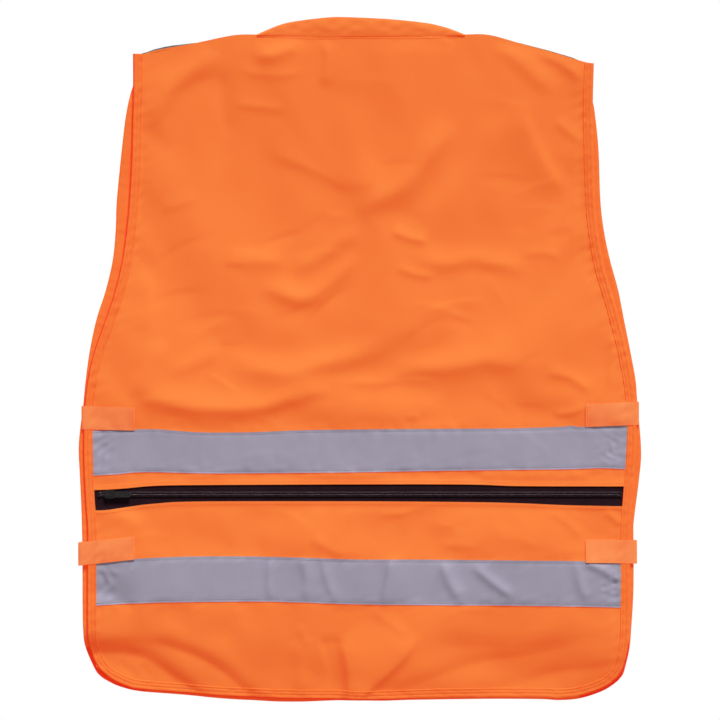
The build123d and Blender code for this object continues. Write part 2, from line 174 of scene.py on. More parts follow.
BACK_FOLDS = [
    ([(-247, -118), (-231, -80), (-208, -50), (-176, -30), (-155, -12)], 16, 12, -3.4),
    ([(-160, -35), (-160, -80), (-152, -125)], 12, 9, 1.8),
    ([(-128, -25), (-100, -24), (-80, -12), (-66, -1)], 9, 7, -2.6),
    ([(-116, -130), (-86, -142), (-59, -156), (-28, -171), (3, -172), (28, -173)], 18, 7, -1.9),
    ([(-24, -210), (-8, -203), (26, -187), (52, -174), (72, -150), (92, -122), (118, -98)], 34, 16, -6.4),
    ([(60, -225), (100, -190), (140, -140), (160, -80)], 18, 30, -2.4),
    ([(150, -8), (182, -28), (210, -54), (232, -70)], 14, 9, -2.2),
    ([(182, -72), (194, -108), (215, -150), (246, -192)], 9, 20, -2.6),
    ([(-88, -274), (-50, -261), (-27, -243), (8, -226)], 14, 8, -2.2),
    ([(-122, -291), (-95, -299), (-72, -307), (-54, -303), (-34, -288), (-12, -266), (4, -252)],
     13, 8, -3.2),
    ([(56, -255), (94, -266), (130, -261), (165, -267), (210, -277)], 14, 8, -2.6),
    ([(-164, -262), (-122, -263), (-78, -261)], 12, 9, -1.9),
    ([(-250, -270), (-246, -310), (-254, -350)], 10, 14, -1.8),
    ([(-264, -424), (-245, -388), (-230, -350)], 10, 12, -2.4),
    ([(-230, -392), (-192, -381), (-158, -362)], 12, 10, -1.8),
    ([(-168, -393), (-127, -388), (-88, -394), (-66, -389), (-33, -380), (2, -371), (38, -358)],
     14, 11, -2.0),
    ([(-272, -418), (-234, -426), (-195, -433), (-158, -435), (-115, -432), (-88, -424), (-53, -415),
      (-26, -411)],
     14, 9, -3.4),
    ([(38, -380), (78, -387), (114, -385), (146, -379), (182, -383), (205, -374)], 12, 8, -2.0),
    ([(-310, -552), (-278, -558), (-250, -577)], 10, 14, -1.8),
]
# Narrow creases, most of them sharper on one side.
BACK_CREASES = [
    ([(-150, -79), (-122, -82), (-82, -87)], 8, 5, -0.9),
    ([(-146, -36), (-122, -44), (-82, -46), (-62, -36)], 7, 5, -0.8),
    ([(-44, -2), (-38, -25), (-43, -62)], 12, 5, -1.6),
    ([(68, 0), (88, -4), (106, -8)], 6, 5, -1.2),
    ([(203, -20), (235, -33), (262, -54)], 10, 6, -1.4),
    ([(226, -96), (244, -112), (262, -124)], 8, 6, -1.2),
    ([(34, -226), (58, -235), (82, -240)], 8, 5, -1.6),
    ([(40, -268), (65, -277), (90, -280)], 6, 5, -1.2),
    ([(186, -255), (213, -252), (238, -260)], 8, 6, -0.9),
    ([(-234, -201), (-212, -196), (-188, -187)], 9, 6, -0.8),
    ([(-24, -414), (-14, -404), (20, -404), (52, -400), (96, -402)], 9, 6, -1.1),
    ([(213, -391), (243, -397), (272, -416)], 9, 6, -1.7),
    ([(222, -440), (248, -438), (266, -428)], 6, 4, -1.2),
    ([(52, -444), (70, -443)], 5, 4, -0.7),
    ([(290, -340), (294, -370), (288, -412)], 8, 6, -1.2),
    ([(16, -557), (50, -555), (66, -549), (92, -546)], 5, 4, -1.1),
    ([(216, -552), (244, -568), (260, -588)], 6, 5, -1.0),
    ([(284, -552), (306, -570)], 5, 4, -1.4),
    ([(-60, -581), (-33, -598), (-12, -602)], 7, 5, -1.1),
    ([(92, -590), (115, -593), (138, -594)], 6, 5, -0.7),
    ([(-104, -603), (-106, -632), (-104, -660)], 6, 4, -1.2),
    ([(-69, -603), (-62, -632), (-66, -660)], 9, 5, -1.8),
    ([(-44, -603), (-39, -632), (-27, -660)], 6, 4, -1.2),
    ([(36, -600), (32, -632), (24, -668)], 10, 3.6, -2.2),
    ([(94, -606), (102, -632), (120, -662)], 9, 6, -2.2),
    ([(128, -614), (154, -636), (182, -656)], 7, 5, -2.0),
    ([(250, -606), (254, -632), (264, -662)], 7, 5, -1.6),
    ([(256, -610), (282, -622), (306, -634)], 6, 4, -1.8),
    ([(10, -664), (36, -684), (60, -699)], 12, 6, -1.1),
]
# Above the hem: steps that lean in and stay in (one side is very wide), and small ridges and hollows.
HEM_FOLDS = [
    ([(-380, -720), (-300, -720), (-274, -721), (-254, -726), (-242, -734), (-230, -744), (-217, -754),
      (-204, -762), (-160, -792)], 13, 240, 7.4),
    ([(-370, -711), (-310, -711), (-270, -709), (-236, -711), (-206, -722)], 12, 30, 2.2),
    ([(-256, -704), (-228, -711), (-208, -718), (-193, -724), (-178, -731), (-163, -741), (-149, -752),
      (-137, -763), (-100, -795)], 11, 80, 6.0),
    ([(-284, -730), (-268, -742), (-254, -757)], 4, 6, 1.2),
    ([(-258, -734), (-247, -744), (-238, -760)], 4, 6, 1.0),
    ([(-150, -770), (-100, -776), (-50, -777), (10, -777)], 38, 60, 5.0),
    ([(-74, -700), (-71, -722), (-68, -745), (-68, -772)], 18, 10, -1.8),
    ([(-70, -684), (-66, -698), (-58, -712)], 6, 6, -0.8),
    ([(-26, -696), (-19, -714), (-14, -738), (-11, -790)], 18, 6, -3.2),
    ([(-50, -710), (-32, -706), (-14, -711)], 6, 60, 1.4),
    ([(68, -692), (50, -722), (28, -744), (-14, -782)], 6, 30, -3.8),
    ([(310, -699), (262, -708), (220, -718), (180, -726), (140, -731), (110, -741), (76, -753), (47, -764),
      (0, -786)], 240, 11, 3.0),
    ([(306, -696), (250, -704), (200, -713), (150, -715), (104, -712), (66, -706)], 240, 16, 3.2),
    ([(340, -726), (270, -739), (230, -744), (200, -753), (160, -765), (110, -780)], 240, 9, 2.2),
    ([(-322, -652), (-300, -648), (-280, -654), (-258, -668)], 16, 10, 2.4),
]
FRONT_FOLDS = [
    ([(-200, -110), (-215, -180), (-235, -260)], 16, 22, 3.0),
    ([(-120, -150), (-100, -220), (-60, -300)], 14, 20, 2.4),
    ([(-250, -330), (-180, -370), (-70, -380)], 14, 20, 3.0),
    ([(-60, -410), (-130, -430), (-230, -425)], 12, 18, -2.0),
    ([(-40, -560), (-55, -640), (-45, -720)], 12, 14, 2.0),
    ([(-250, -700), (-285, -650), (-290, -590)], 12, 12, -2.0),
    ([(205, -115), (225, -190), (250, -280)], 20, 14, 2.8),
    ([(110, -140), (95, -230), (55, -330)], 18, 14, -2.4),
    ([(265, -330), (180, -350), (60, -395)], 14, 18, 2.8),
    ([(70, -420), (150, -440), (250, -425)], 12, 16, 2.2),
    ([(45, -560), (52, -640), (42, -725)], 12, 14, -1.8),
    ([(255, -710), (284, -650), (286, -585)], 12, 12, 2.0),
    ([(110, -330), (170, -325), (240, -345)], 12, 14, -1.8),
]


FOLD_FALL = 1.7  # how squarely the side of a fold falls away


def step(value, low, high):
    """A smooth rise from 0 to 1 between two values."""
    t = np.clip((value - low) / (high - low), 0, 1)
    return t * t * (3 - 2 * t)


def folds_at(folds, x, z):
    """The depth of a list of folds at each point."""
    total = np.zeros_like(x)
    for points, wide_left, wide_right, depth in folds:
        path = smooth_path(points, 17)
        reach = 2.6 * max(wide_left, wide_right)
        low, high = path.min(0) - reach, path.max(0) + reach
        near = (x > low[0]) & (x < high[0]) & (z > low[1]) & (z < high[1])
        if not near.any():
            continue
        px, pz = x[near][:, None], z[near][:, None]
        start, run = path[:-1], np.diff(path, axis=0)
        t = ((px - start[:, 0]) * run[:, 0] + (pz - start[:, 1]) * run[:, 1]) / (run**2).sum(1)
        t = np.clip(t, 0, 1)
        off_x, off_z = px - start[:, 0] - t * run[:, 0], pz - start[:, 1] - t * run[:, 1]
        square = off_x**2 + off_z**2
        k = square.argmin(1)
        row = np.arange(len(k))
        left = run[k, 0] * off_z[row, k] - run[k, 1] * off_x[row, k] > 0
        along = (k + t[row, k]) / len(run)
        wide = np.where(left, wide_left, wide_right)
        shape = np.exp(-((np.sqrt(square[row, k]) / wide) ** FOLD_FALL))
        total[near] += depth * step(np.sin(math.pi * along), 0, 0.8) * shape
    return total


def waves(x, z, length, seed, count=9):
    """A smooth, uneven ripple between about -1 and 1, whose bumps are about that long."""
    rng = np.random.default_rng(seed)
    total = np.zeros_like(x)
    for _ in range(count):
        turn, phase, stretch = rng.uniform(0, math.tau), rng.uniform(0, math.tau), rng.uniform(0.6, 1.6)
        k = math.tau / (length * stretch)
        total += np.sin(k * (x * math.cos(turn) + z * math.sin(turn)) + phase)
    return total / math.sqrt(count)


def seam_pucker(distance, x, z, seed):
    """Small gathers that a row of stitches pulls into the cloth beside it."""
    return np.exp(-np.abs(distance) / 9) * waves(x, z, 13, seed, 6)


def crumple(x, z, at, reach, seed):
    """Short sharp creases pushed in around a point."""
    fade = np.exp(-((x - at[0]) / reach[0]) ** 2 - ((z - at[1]) / reach[1]) ** 2)
    return fade * np.abs(waves(x, z, 15, seed, 5))


def crinkle(x, z, seed):
    """Short, shallow, mostly level creases of worn-in cloth, scattered at random."""
    chance = np.random.default_rng(seed)
    y = np.zeros(np.shape(x))
    for _ in range(90):
        at_x, at_z, turn = chance.uniform(-300, 300), chance.uniform(-700, -50), chance.normal(0.0, 0.4)
        half, wide, deep = chance.uniform(12, 34), chance.uniform(3, 5.5), chance.uniform(0.2, 0.6)
        along = (x - at_x) * math.cos(turn) + (z - at_z) * math.sin(turn)
        across = (z - at_z) * math.cos(turn) - (x - at_x) * math.sin(turn) + 0.004 * along ** 2
        across = np.where(across > 0, across / wide, across / (2.2 * wide))
        y += deep * chance.choice((-1, 1)) * np.exp(-(along / half) ** 4 - across ** 2)
    return y


def in_band(z):
    """1 on the reflective bands, which stay flatter than the cloth, and 0 away from them."""
    return sum(step(z, low - 6, low + 6) * step(-z, -high - 6, -high + 6) for low, high in BANDS)


def clear_of(distance):
    """0 on the line of a zip, which stays straight, and 1 away from it."""
    return 1 - np.exp(-(distance / 17) ** 4)


def looseness(edge):
    """How freely cloth moves at a distance in from its bound edge."""
    return 0.35 + 0.65 * step(edge, 2, 16)


def neck_half(z, below=10):
    """Half the width of the front's neck opening at a height, with a set value below its point."""
    return np.interp(-z, [-2, 60, 125, 185], [118, 100, 62, 10], right=below)


BACK_SIDE_PATHS = [smooth_path(side, 120) for side in (BACK_LEFT, BACK_RIGHT)]
FRONT_SIDE_PATHS = [smooth_path(side, 120) for side in (FRONT_LEFT, FRONT_RIGHT)]
TOP_EDGE = SHOULDER_LEFT + COLLAR_SEAM[1:-1] + SHOULDER_RIGHT


def from_sides(sides, x, z):
    """How far in from the nearer side edge a point is."""
    left, right = [np.interp(-z, -side[:, 1], side[:, 0]) for side in sides]
    return np.minimum(x - left, right - x)


def back_seed(x, z):
    """The back's main folds before the cloth settles; positive is towards the inside."""
    y = folds_at(BACK_FOLDS, x, z) + 0.7 * waves(x, z, 150, 3)
    y -= 1.2 * step(neck_half(z) - np.abs(x), -14, 14) * step(z, -190, -150)
    return y * clear_of(z - ZIP_Z) * step(-z, -12, 22)


def front_seed(x, z):
    """The same for the front; positive is towards the outside."""
    y = -1.5 * folds_at(FRONT_FOLDS, x, z) + 0.8 * waves(x, z, 140, 31)
    return y * clear_of(x) * step(-z, -12, 40)


def add_object(name, data):
    """A new object in the scene."""
    obj = bpy.data.objects.new(name, data)
    bpy.context.scene.collection.objects.link(obj)
    return obj


def cells(index):
    """The four corners of every cell of a grid of vertex numbers."""
    corners = [index[:-1, :-1], index[:-1, 1:], index[1:, 1:], index[1:, :-1]]
    return np.stack(corners, -1).reshape(-1, 4)


SETTLE_SPACING = 8.0
SETTLE_FRAMES = 26
GROWTH = 0.0035  # how much larger the cloth is than the frame it is sewn into
SEED_DEPTH = 1.25  # how deep the seed folds start, against how deep they are meant to end
BAND_HOLD = 0.55  # how firmly the stiff bands hold their cloth


def run_cloth(points, faces, held):
    """The heights that Blender's Cloth gives a mesh whose points are held by these weights."""
    scene = bpy.context.scene
    mesh = bpy.data.meshes.new("settling")
    mesh.from_pydata(points.tolist(), [], faces.tolist())
    obj = add_object("settling", mesh)
    group = obj.vertex_groups.new(name="held")
    for i, weight in enumerate(held):
        if weight > 0:
            group.add([i], float(weight), "REPLACE")
    cloth = obj.modifiers.new("cloth", "CLOTH")
    s = cloth.settings
    s.quality, s.mass, s.air_damping = 6, 0.15, 2
    s.tension_stiffness = s.compression_stiffness = 20
    s.shear_stiffness = 8
    s.tension_damping = s.compression_damping = 8
    s.bending_model, s.bending_stiffness, s.bending_damping = "ANGULAR", 2.5, 0.5
    s.vertex_group_mass, s.pin_stiffness = "held", 3.0
    s.shrink_min = s.shrink_max = -GROWTH
    cloth.collision_settings.use_self_collision = False
    scene.gravity = (0, 0, -1)
    cloth.point_cache.frame_end = SETTLE_FRAMES
    for at in range(1, SETTLE_FRAMES + 1):
        scene.frame_set(at)
    settled = obj.evaluated_get(bpy.context.evaluated_depsgraph_get()).to_mesh()
    ends = np.zeros(len(points) * 3)
    settled.vertices.foreach_get("co", ends)
    bpy.data.objects.remove(obj)
    scene.frame_set(1)
    return ends[1::3] / MM


def spread(height):
    """Fills the unknown cells of a grid from their known neighbours, outwards."""
    for _ in range(30):
        empty = np.isnan(height)
        if not empty.any():
            break
        ringed = np.pad(height, 1, constant_values=np.nan)
        around = np.stack([ringed[:-2, 1:-1], ringed[2:, 1:-1], ringed[1:-1, :-2], ringed[1:-1, 2:]])
        known = ~np.isnan(around)
        mean = np.where(known, around, 0).sum(0) / np.maximum(known.sum(0), 1)
        height[empty & known.any(0)] = mean[empty & known.any(0)]
    return np.nan_to_num(height)


def settle(seed, sides, hem, is_front):
    """Lets a sheet of cloth, a little larger than the frame it is sewn into, buckle along its seed folds.

    Returns the sheet's heights over a regular grid, with the grid's start.
    """
    xs, zs = np.arange(-344, 345, SETTLE_SPACING), np.arange(-800, 41, SETTLE_SPACING)
    x, z = np.meshgrid(xs, zs)
    ends = np.minimum(z - np.interp(x, *np.array(hem).T), np.interp(x, *np.array(TOP_EDGE).T) - z)
    room = np.minimum(from_sides(sides, x, z), ends)
    if is_front:
        neck = neck_half(z, 0)
        room = np.minimum(room, np.minimum(np.abs(x) - neck, np.abs(x) - 9))
    else:
        room = np.minimum(room, np.abs(z - ZIP_Z) - 9)
    inside = (room > -4) | (np.abs(z - ZIP_Z) < 14) & (from_sides(sides, x, z) > 0)
    index = np.full(x.shape, -1)
    index[inside] = np.arange(inside.sum())
    corners = cells(index)
    points = np.stack([x[inside], SEED_DEPTH * seed(x, z)[inside], z[inside]], -1) * MM
    held = np.clip(1 - (room[inside] - 3) / 9, 0, 1)  # fully on the seams, and less over the next 9 mm
    for low, high in BANDS:
        held = np.maximum(held, BAND_HOLD * ((z[inside] > low - 3) & (z[inside] < high + 3)))
    height = np.full(x.shape, np.nan)
    height[inside] = run_cloth(points, corners[corners.min(1) >= 0], held)
    return spread(height), xs[0], zs[0]


def sampled(grid, x, z):
    """A smooth (cubic B-spline) reading of a settled grid."""
    height, x0, z0 = grid
    u, v = (x - x0) / SETTLE_SPACING, (z - z0) / SETTLE_SPACING
    i, j = np.floor(u).astype(int), np.floor(v).astype(int)

    def weights(t):
        middles = (3 * t**3 - 6 * t**2 + 4) / 6, (-3 * t**3 + 3 * t**2 + 3 * t + 1) / 6
        return (1 - t) ** 3 / 6, *middles, t**3 / 6
    total = np.zeros_like(x)
    for a, wa in zip((-1, 0, 1, 2), weights(v - j)):
        for b, wb in zip((-1, 0, 1, 2), weights(u - i)):
            row = np.clip(j + a, 0, height.shape[0] - 1)
            column = np.clip(i + b, 0, height.shape[1] - 1)
            total += wa * wb * height[row, column]
    return total


# How much of the broad shape and of the small creases the stiff bands take out.
BAND_CALM, BAND_SMOOTH = 0.35, 0.6
BACK_CLOTH = FRONT_CLOTH = None
BACK_CLOTH = settle(back_seed, BACK_SIDE_PATHS, BACK_HEM, False)
FRONT_CLOTH = settle(front_seed, FRONT_SIDE_PATHS, FRONT_HEM, True)

# Crumpled cloth by the ends of the straps: place, reach, seed and depth.
STRAP_CRUMPLES = [((-296, -632), (11, 24), 21, 1.6), ((294, -640), (14, 20), 22, 1.0),
                  ((296, -482), (16, 20), 23, 0.8), ((-300, -482), (12, 22), 24, 0.8)]
DEEPEST = 11  # past this the cloth meets the front and hardly goes further in


def back_field(x, z):
    """How far the back's layers are pushed in, towards the inside, at a point."""
    broad, banded = back_seed(x, z), in_band(z)
    if BACK_CLOTH:
        broad = 0.35 * broad + 0.6 * sampled(BACK_CLOTH, x, z)
    y = broad * (1 - BAND_CALM * banded) + folds_at(BACK_CREASES, x, z)
    y += crinkle(x, z, 41) * (1 - BAND_SMOOTH * banded) * step(z, -700, -660)
    y += 4 * step(-z, 10, 170) - 4 * step(-z, 170, 420)  # a valley under the neck
    edge = from_sides(BACK_SIDE_PATHS, x, z)
    y *= looseness(edge)
    y += folds_at(HEM_FOLDS, x, z)
    y += step(edge, 10, 15) * sum(
        depth * crumple(x, z, at, reach, seed) for at, reach, seed, depth in STRAP_CRUMPLES)
    y += 0.13 * waves(x, z, 40, 4) + 0.3 * seam_pucker(edge - 11, x, z, 5)
    for k, height in enumerate(BAND_EDGES):
        y += 0.22 * seam_pucker(z - height, x, z, 6 + k)
    y += 0.22 * seam_pucker(z, x, z, 12)
    y += 0.9 * step(-z, 604, 668) + 1.2 * step(-z, 640, 712) + 4.2 * step(-z, 690, 785)  # the hem leans in
    y -= 1.6 * step(-z, 530, 602)  # the back stands out below the zip
    y = np.where(y > DEEPEST, DEEPEST + 3 * np.tanh((y - DEEPEST) / 3), y)
    return y * clear_of(z - ZIP_Z) * step(-z, -12, 22)


def closing(x, z):
    """1 where the front's edge lies against the back's; 0 further in, at the shoulders, zip and corners."""
    room = np.minimum(from_sides(FRONT_SIDE_PATHS, x, z), z - np.interp(x, *np.array(FRONT_HEM).T))
    corner = np.exp(-((np.abs(x) - 292) / 32) ** 2 - ((z + 745) / 26) ** 2)
    return (1 - step(room, 4, 60)) * step(-z, 34, 80) * step(np.abs(x), 22, 90) * (1 - 0.8 * corner)


def front_field(x, z):
    """How far the front's layers are pushed out, away from the inside, at a point."""
    broad, banded = front_seed(x, z), in_band(z)
    if FRONT_CLOTH:
        broad = 0.4 * broad + 0.7 * sampled(FRONT_CLOTH, x, z)
    y = broad * (1 - BAND_CALM * banded) - crinkle(x, z, 43) * (1 - BAND_SMOOTH * banded)
    edge = from_sides(FRONT_SIDE_PATHS, x, z)
    y *= looseness(edge)
    y += 0.15 * waves(x, z, 40, 32) + 0.3 * seam_pucker(edge - 11, x, z, 33)
    for k, height in enumerate(BAND_EDGES):
        y += 0.2 * seam_pucker(z - height, x, z, 34 + k)
    y *= clear_of(x) * step(-z, -12, 40)
    closed = closing(x, z)
    gap = HEM_GAP - 0.5 * step(x, 0, 60)
    return y * (1 - closed) + (BACK + gap - FRONT + back_field(x, z)) * closed


def at_back(offset):
    """The Y of a line that lies that far from the middle of the back's cloth."""
    return lambda x, z: BACK + offset + back_field(x, z)


def at_front(offset):
    """The same on the front's cloth."""
    return lambda x, z: FRONT + offset + front_field(x, z)


# ---- mesh building ---------------------------------------------------------------------------------

def make(name, vertices, faces, sharp=math.radians(40)):
    """A smooth-shaded object from points in millimetres."""
    mesh = bpy.data.meshes.new(name)
    mesh.from_pydata((np.asarray(vertices) * MM).tolist(), [], [list(f) for f in faces])
    mesh.update()
    mesh.polygons.foreach_set("use_smooth", np.ones(len(mesh.polygons), bool))
    if sharp:
        mesh.set_sharp_from_angle(angle=sharp)
    return add_object(name, mesh)


def fix_normals(obj):
    """Turns every face outwards."""
    bm = bmesh.new()
    bm.from_mesh(obj.data)
    bmesh.ops.recalc_face_normals(bm, faces=bm.faces)
    bm.to_mesh(obj.data)
    bm.free()


def coons(bottom, top, left, right):
    """A grid of points, rows up Z, that fills the space between four edges."""
    u = np.linspace(0, 1, len(bottom))[None, :, None]
    v = np.linspace(0, 1, len(left))[:, None, None]
    return (
        (1 - v) * bottom[None] + v * top[None] + (1 - u) * left[:, None] + u * right[:, None]
        - (1 - u) * (1 - v) * bottom[0] - u * (1 - v) * bottom[-1]
        - (1 - u) * v * top[0] - u * v * top[-1]
    )


def patch_grid(edges, spacing):
    """Coons grid from four edge lists (bottom, top, left, right) at about that spacing."""
    def length(edge):
        return travelled(smooth_path(edge, 50))[-1]
    columns, rows = (int(max(map(length, pair)) / spacing) + 2 for pair in (edges[:2], edges[2:]))
    return coons(*[smooth_path(e, n) for e, n in zip(edges, (columns, columns, rows, rows))])


def strip_edges(low_edge, top_edge):
    """The four edges of a patch whose sides are straight."""
    return [low_edge, top_edge, [low_edge[0], top_edge[0]], [low_edge[-1], top_edge[-1]]]


def rectangle(low, high, past=(0, 0)):
    """The four edges of a rectangle, from a box's corners, each moved out by that much in X and Z."""
    x0, x1, z0, z1 = low[0] - past[0], high[0] + past[0], low[2] - past[1], high[2] + past[1]
    return strip_edges([(x0, z0), (x1, z0)], [(x0, z1), (x1, z1)])


def around(index):
    """The cells along a grid's outline, in order."""
    return np.concatenate([index[0], index[1:, -1], index[-1, -2::-1], index[-2:0:-1, 0]])


def set_flat(obj, width, height, area):
    """Notes a sheet's flat size, given in millimetres, on the object."""
    obj["flat"] = [float(width * MM), float(height * MM), float(area * MM * MM)]


def shell(name, outer, inner):
    """A closed sheet between two (rows, columns, 3) grids; outer faces -Y when columns run along +X."""
    n = outer[..., 0].size
    index = np.arange(n).reshape(outer.shape[:2])
    front, ring = cells(index), around(index)
    following = np.roll(ring, -1)
    rim = np.stack([ring, ring + n, following + n, following], -1)
    faces = np.concatenate([front, front[:, ::-1] + n, rim])
    return make(name, np.concatenate([outer.reshape(-1, 3), inner.reshape(-1, 3)]), faces)


def lifted(grid, y):
    """A grid over X and Z with its heights."""
    return np.stack([grid[..., 0], y, grid[..., 1]], -1)


def layer(name, grid, centre, field, side, thickness=CLOTH, relief=None):
    """A sheet of cloth in the back (side -1) or front (side 1) of the vest. Relief stands out from it."""
    x, z = grid[..., 0], grid[..., 1]
    push = field(x, z)
    raised = relief(x, z) if relief else 0
    low = centre - thickness / 2 + push - (raised if side < 0 else 0)
    high = centre + thickness / 2 + push + (raised if side > 0 else 0)
    obj = shell(name, lifted(grid, low), lifted(grid, high))
    x, z = around(grid).T
    set_flat(obj, *np.ptp(grid, axis=(0, 1)), abs(np.dot(x, np.roll(z, -1)) - np.dot(z, np.roll(x, -1))) / 2)
    return obj


def sweep(name, path, section, inward, y_of):
    """A closed section, as (distance inward, height out) pairs, run along a path over X and Z."""
    section = np.array(section, float)
    normal = left_of(path) * inward
    points = path[:, None] + normal[:, None] * section[None, :, :1]
    vertices = lifted(points, y_of(points[..., 0], points[..., 1], section[None, :, 1]))
    index = np.arange(vertices[..., 0].size).reshape(vertices.shape[:2])
    faces = cells(np.hstack([index, index[:, :1]])).tolist() + [index[0, ::-1].tolist(), index[-1].tolist()]
    obj = make(name, vertices.reshape(-1, 3), faces)
    fix_normals(obj)
    return obj


def bars(name, centres, along, out, length, width, height):
    """Small rounded bars, such as stitches or zip teeth, as one object."""
    ring = 6  # corners round a bar
    turn = np.arange(ring) * math.tau / ring
    local = [(-0.5 * length, 0, 0)]
    for at, fat in ((-0.34, 0.85), (0.0, 1.0), (0.34, 0.85)):
        local += [(at * length, fat * width / 2 * math.cos(t), fat * height / 2 * math.sin(t)) for t in turn]
    local = np.array(local + [(0.5 * length, 0, 0)])
    axes = [v[:, None] for v in (along, np.cross(along, out), out)]
    vertices = centres[:, None] + sum(local[None, :, k:k + 1] * axis for k, axis in enumerate(axes))
    faces, last = [], len(local) - 1
    for i in range(1, ring + 1):
        j = i % ring + 1
        faces += [[0, j, i], [i, j, ring + j, ring + i], [ring + i, ring + j, 2 * ring + j, 2 * ring + i],
                  [last, 2 * ring + i, 2 * ring + j]]
    every = [[k * len(local) + v for v in face] for k in range(len(centres)) for face in faces]
    return make(name, vertices.reshape(-1, 3), every, sharp=None)


def stitches(paths, y_of, side, pitch=3.3, length=2.5):
    """Centres, directions, outward vectors and sizes of the stitches along paths over X and Z."""
    width, height = 0.62, 0.496
    runs = []
    for path in paths:
        dense = smooth_path(path, max(8, len(path) * 6)) if len(path) < 60 else np.asarray(path)
        p = smooth_path(dense, 2 * int(travelled(dense)[-1] / pitch) + 1)
        points = lifted(p, y_of(p[:, 0], p[:, 1]))
        run = unit(np.gradient(points, axis=0))
        up = np.tile([0.0, float(side), 0.0], (len(points), 1))
        up = unit(up - (up * run).sum(1)[:, None] * run)
        runs.append((points[1::2], run[1::2], up[1::2]))
    return *(np.concatenate(v) for v in zip(*runs)), length, width, height


# ---- materials -------------------------------------------------------------------------------------

def set_up(made, values):
    """Sets a node's own properties, or its inputs, where an underscore stands for a space."""
    for key, value in values.items():
        if hasattr(made, key):
            setattr(made, key, value)
        else:
            made.inputs[key.replace("_", " ")].default_value = value


def node(tree, kind, **values):
    """A new node with these values."""
    made = tree.nodes.new(kind)
    set_up(made, values)
    return made


def new_material(name, **values):
    """A material, its node tree and its shader with these values."""
    material = bpy.data.materials.new(name)
    material.use_nodes = True
    tree = material.node_tree
    set_up(tree.nodes["Principled BSDF"], values)
    return material, tree, tree.nodes["Principled BSDF"]


def object_place(tree):
    """The place on the object, which moves with it."""
    return node(tree, "ShaderNodeTexCoord").outputs["Object"]


def noise(tree, place, scale, detail=3.0, roughness=0.55, stretch=None):
    """Noise between 0 and 1; a stretch below 1 along an axis lengthens its marks that way."""
    made = node(tree, "ShaderNodeTexNoise", Scale=scale, Detail=detail, Roughness=roughness)
    if stretch:
        mapping = node(tree, "ShaderNodeMapping", Scale=stretch)
        tree.links.new(place, mapping.inputs["Vector"])
        place = mapping.outputs["Vector"]
    tree.links.new(place, made.inputs["Vector"])
    return made.outputs["Fac"]


def ribs(tree, place, axis, pitch_mm):
    """Parallel ribs, a little uneven."""
    made = node(tree, "ShaderNodeTexWave", wave_type="BANDS", bands_direction=axis, wave_profile="SIN",
                Scale=0.31416 / (pitch_mm * MM), Distortion=0.4, Detail=1.0, Detail_Scale=0.6)
    tree.links.new(place, made.inputs["Vector"])
    return made.outputs["Fac"]


def fill(tree, socket, value):
    """Links another node's output to a socket, or sets it to a number or colour."""
    if isinstance(value, bpy.types.NodeSocket):
        tree.links.new(value, socket)
    else:
        socket.default_value = (*value, 1.0) if isinstance(value, tuple) else value


def mixed(tree, a, b, factor):
    """A mix of two colours or sockets."""
    made = node(tree, "ShaderNodeMix", data_type="RGBA")
    for index, value in ((6, a), (7, b), (0, factor)):
        fill(tree, made.inputs[index], value)
    return made.outputs[2]


def ranged(tree, value, low, high, from_low=0.0, from_high=1.0):
    """A value brought from one range into another, and kept inside it."""
    made = node(tree, "ShaderNodeMapRange", From_Min=from_low, From_Max=from_high, To_Min=low, To_Max=high)
    tree.links.new(value, made.inputs["Value"])
    return made.outputs["Result"]


def maths(tree, operation, a, b):
    """The result of a maths node on two numbers or sockets."""
    made = node(tree, "ShaderNodeMath", operation=operation)
    fill(tree, made.inputs[0], a)
    fill(tree, made.inputs[1], b)
    return made.outputs[0]


def bumped(tree, shader, height, strength, depth_mm):
    """Gives a shader small relief."""
    made = node(tree, "ShaderNodeBump", Strength=strength, Distance=depth_mm * MM)
    tree.links.new(height, made.inputs["Height"])
    tree.links.new(made.outputs["Normal"], shader.inputs["Normal"])


# The colour that painted shade brings the back's cloth towards.
PAINTED_SHADE_COLOUR = (0.310, 0.170, 0.027)


def painted_neck_and_hem_shade(tree, place):
    """How much painted shade darkens the cloth: over the front's neck opening, with no cloth behind, and
    towards the hem.
    """
    parts = node(tree, "ShaderNodeSeparateXYZ")
    tree.links.new(place, parts.inputs["Vector"])
    across, height = maths(tree, "ABSOLUTE", parts.outputs["X"], 0.0), parts.outputs["Z"]
    bend = maths(tree, "SUBTRACT", 0.12, maths(tree, "MULTIPLY", height, 2.5))
    half = maths(tree, "ADD", 0.118, maths(tree, "MULTIPLY", height, bend))
    opening = ranged(tree, maths(tree, "SUBTRACT", half, across), 0.0, 0.32, -0.012, 0.012)
    return maths(tree, "ADD", opening, ranged(tree, height, 0.0, 0.35, -0.690, -0.735))


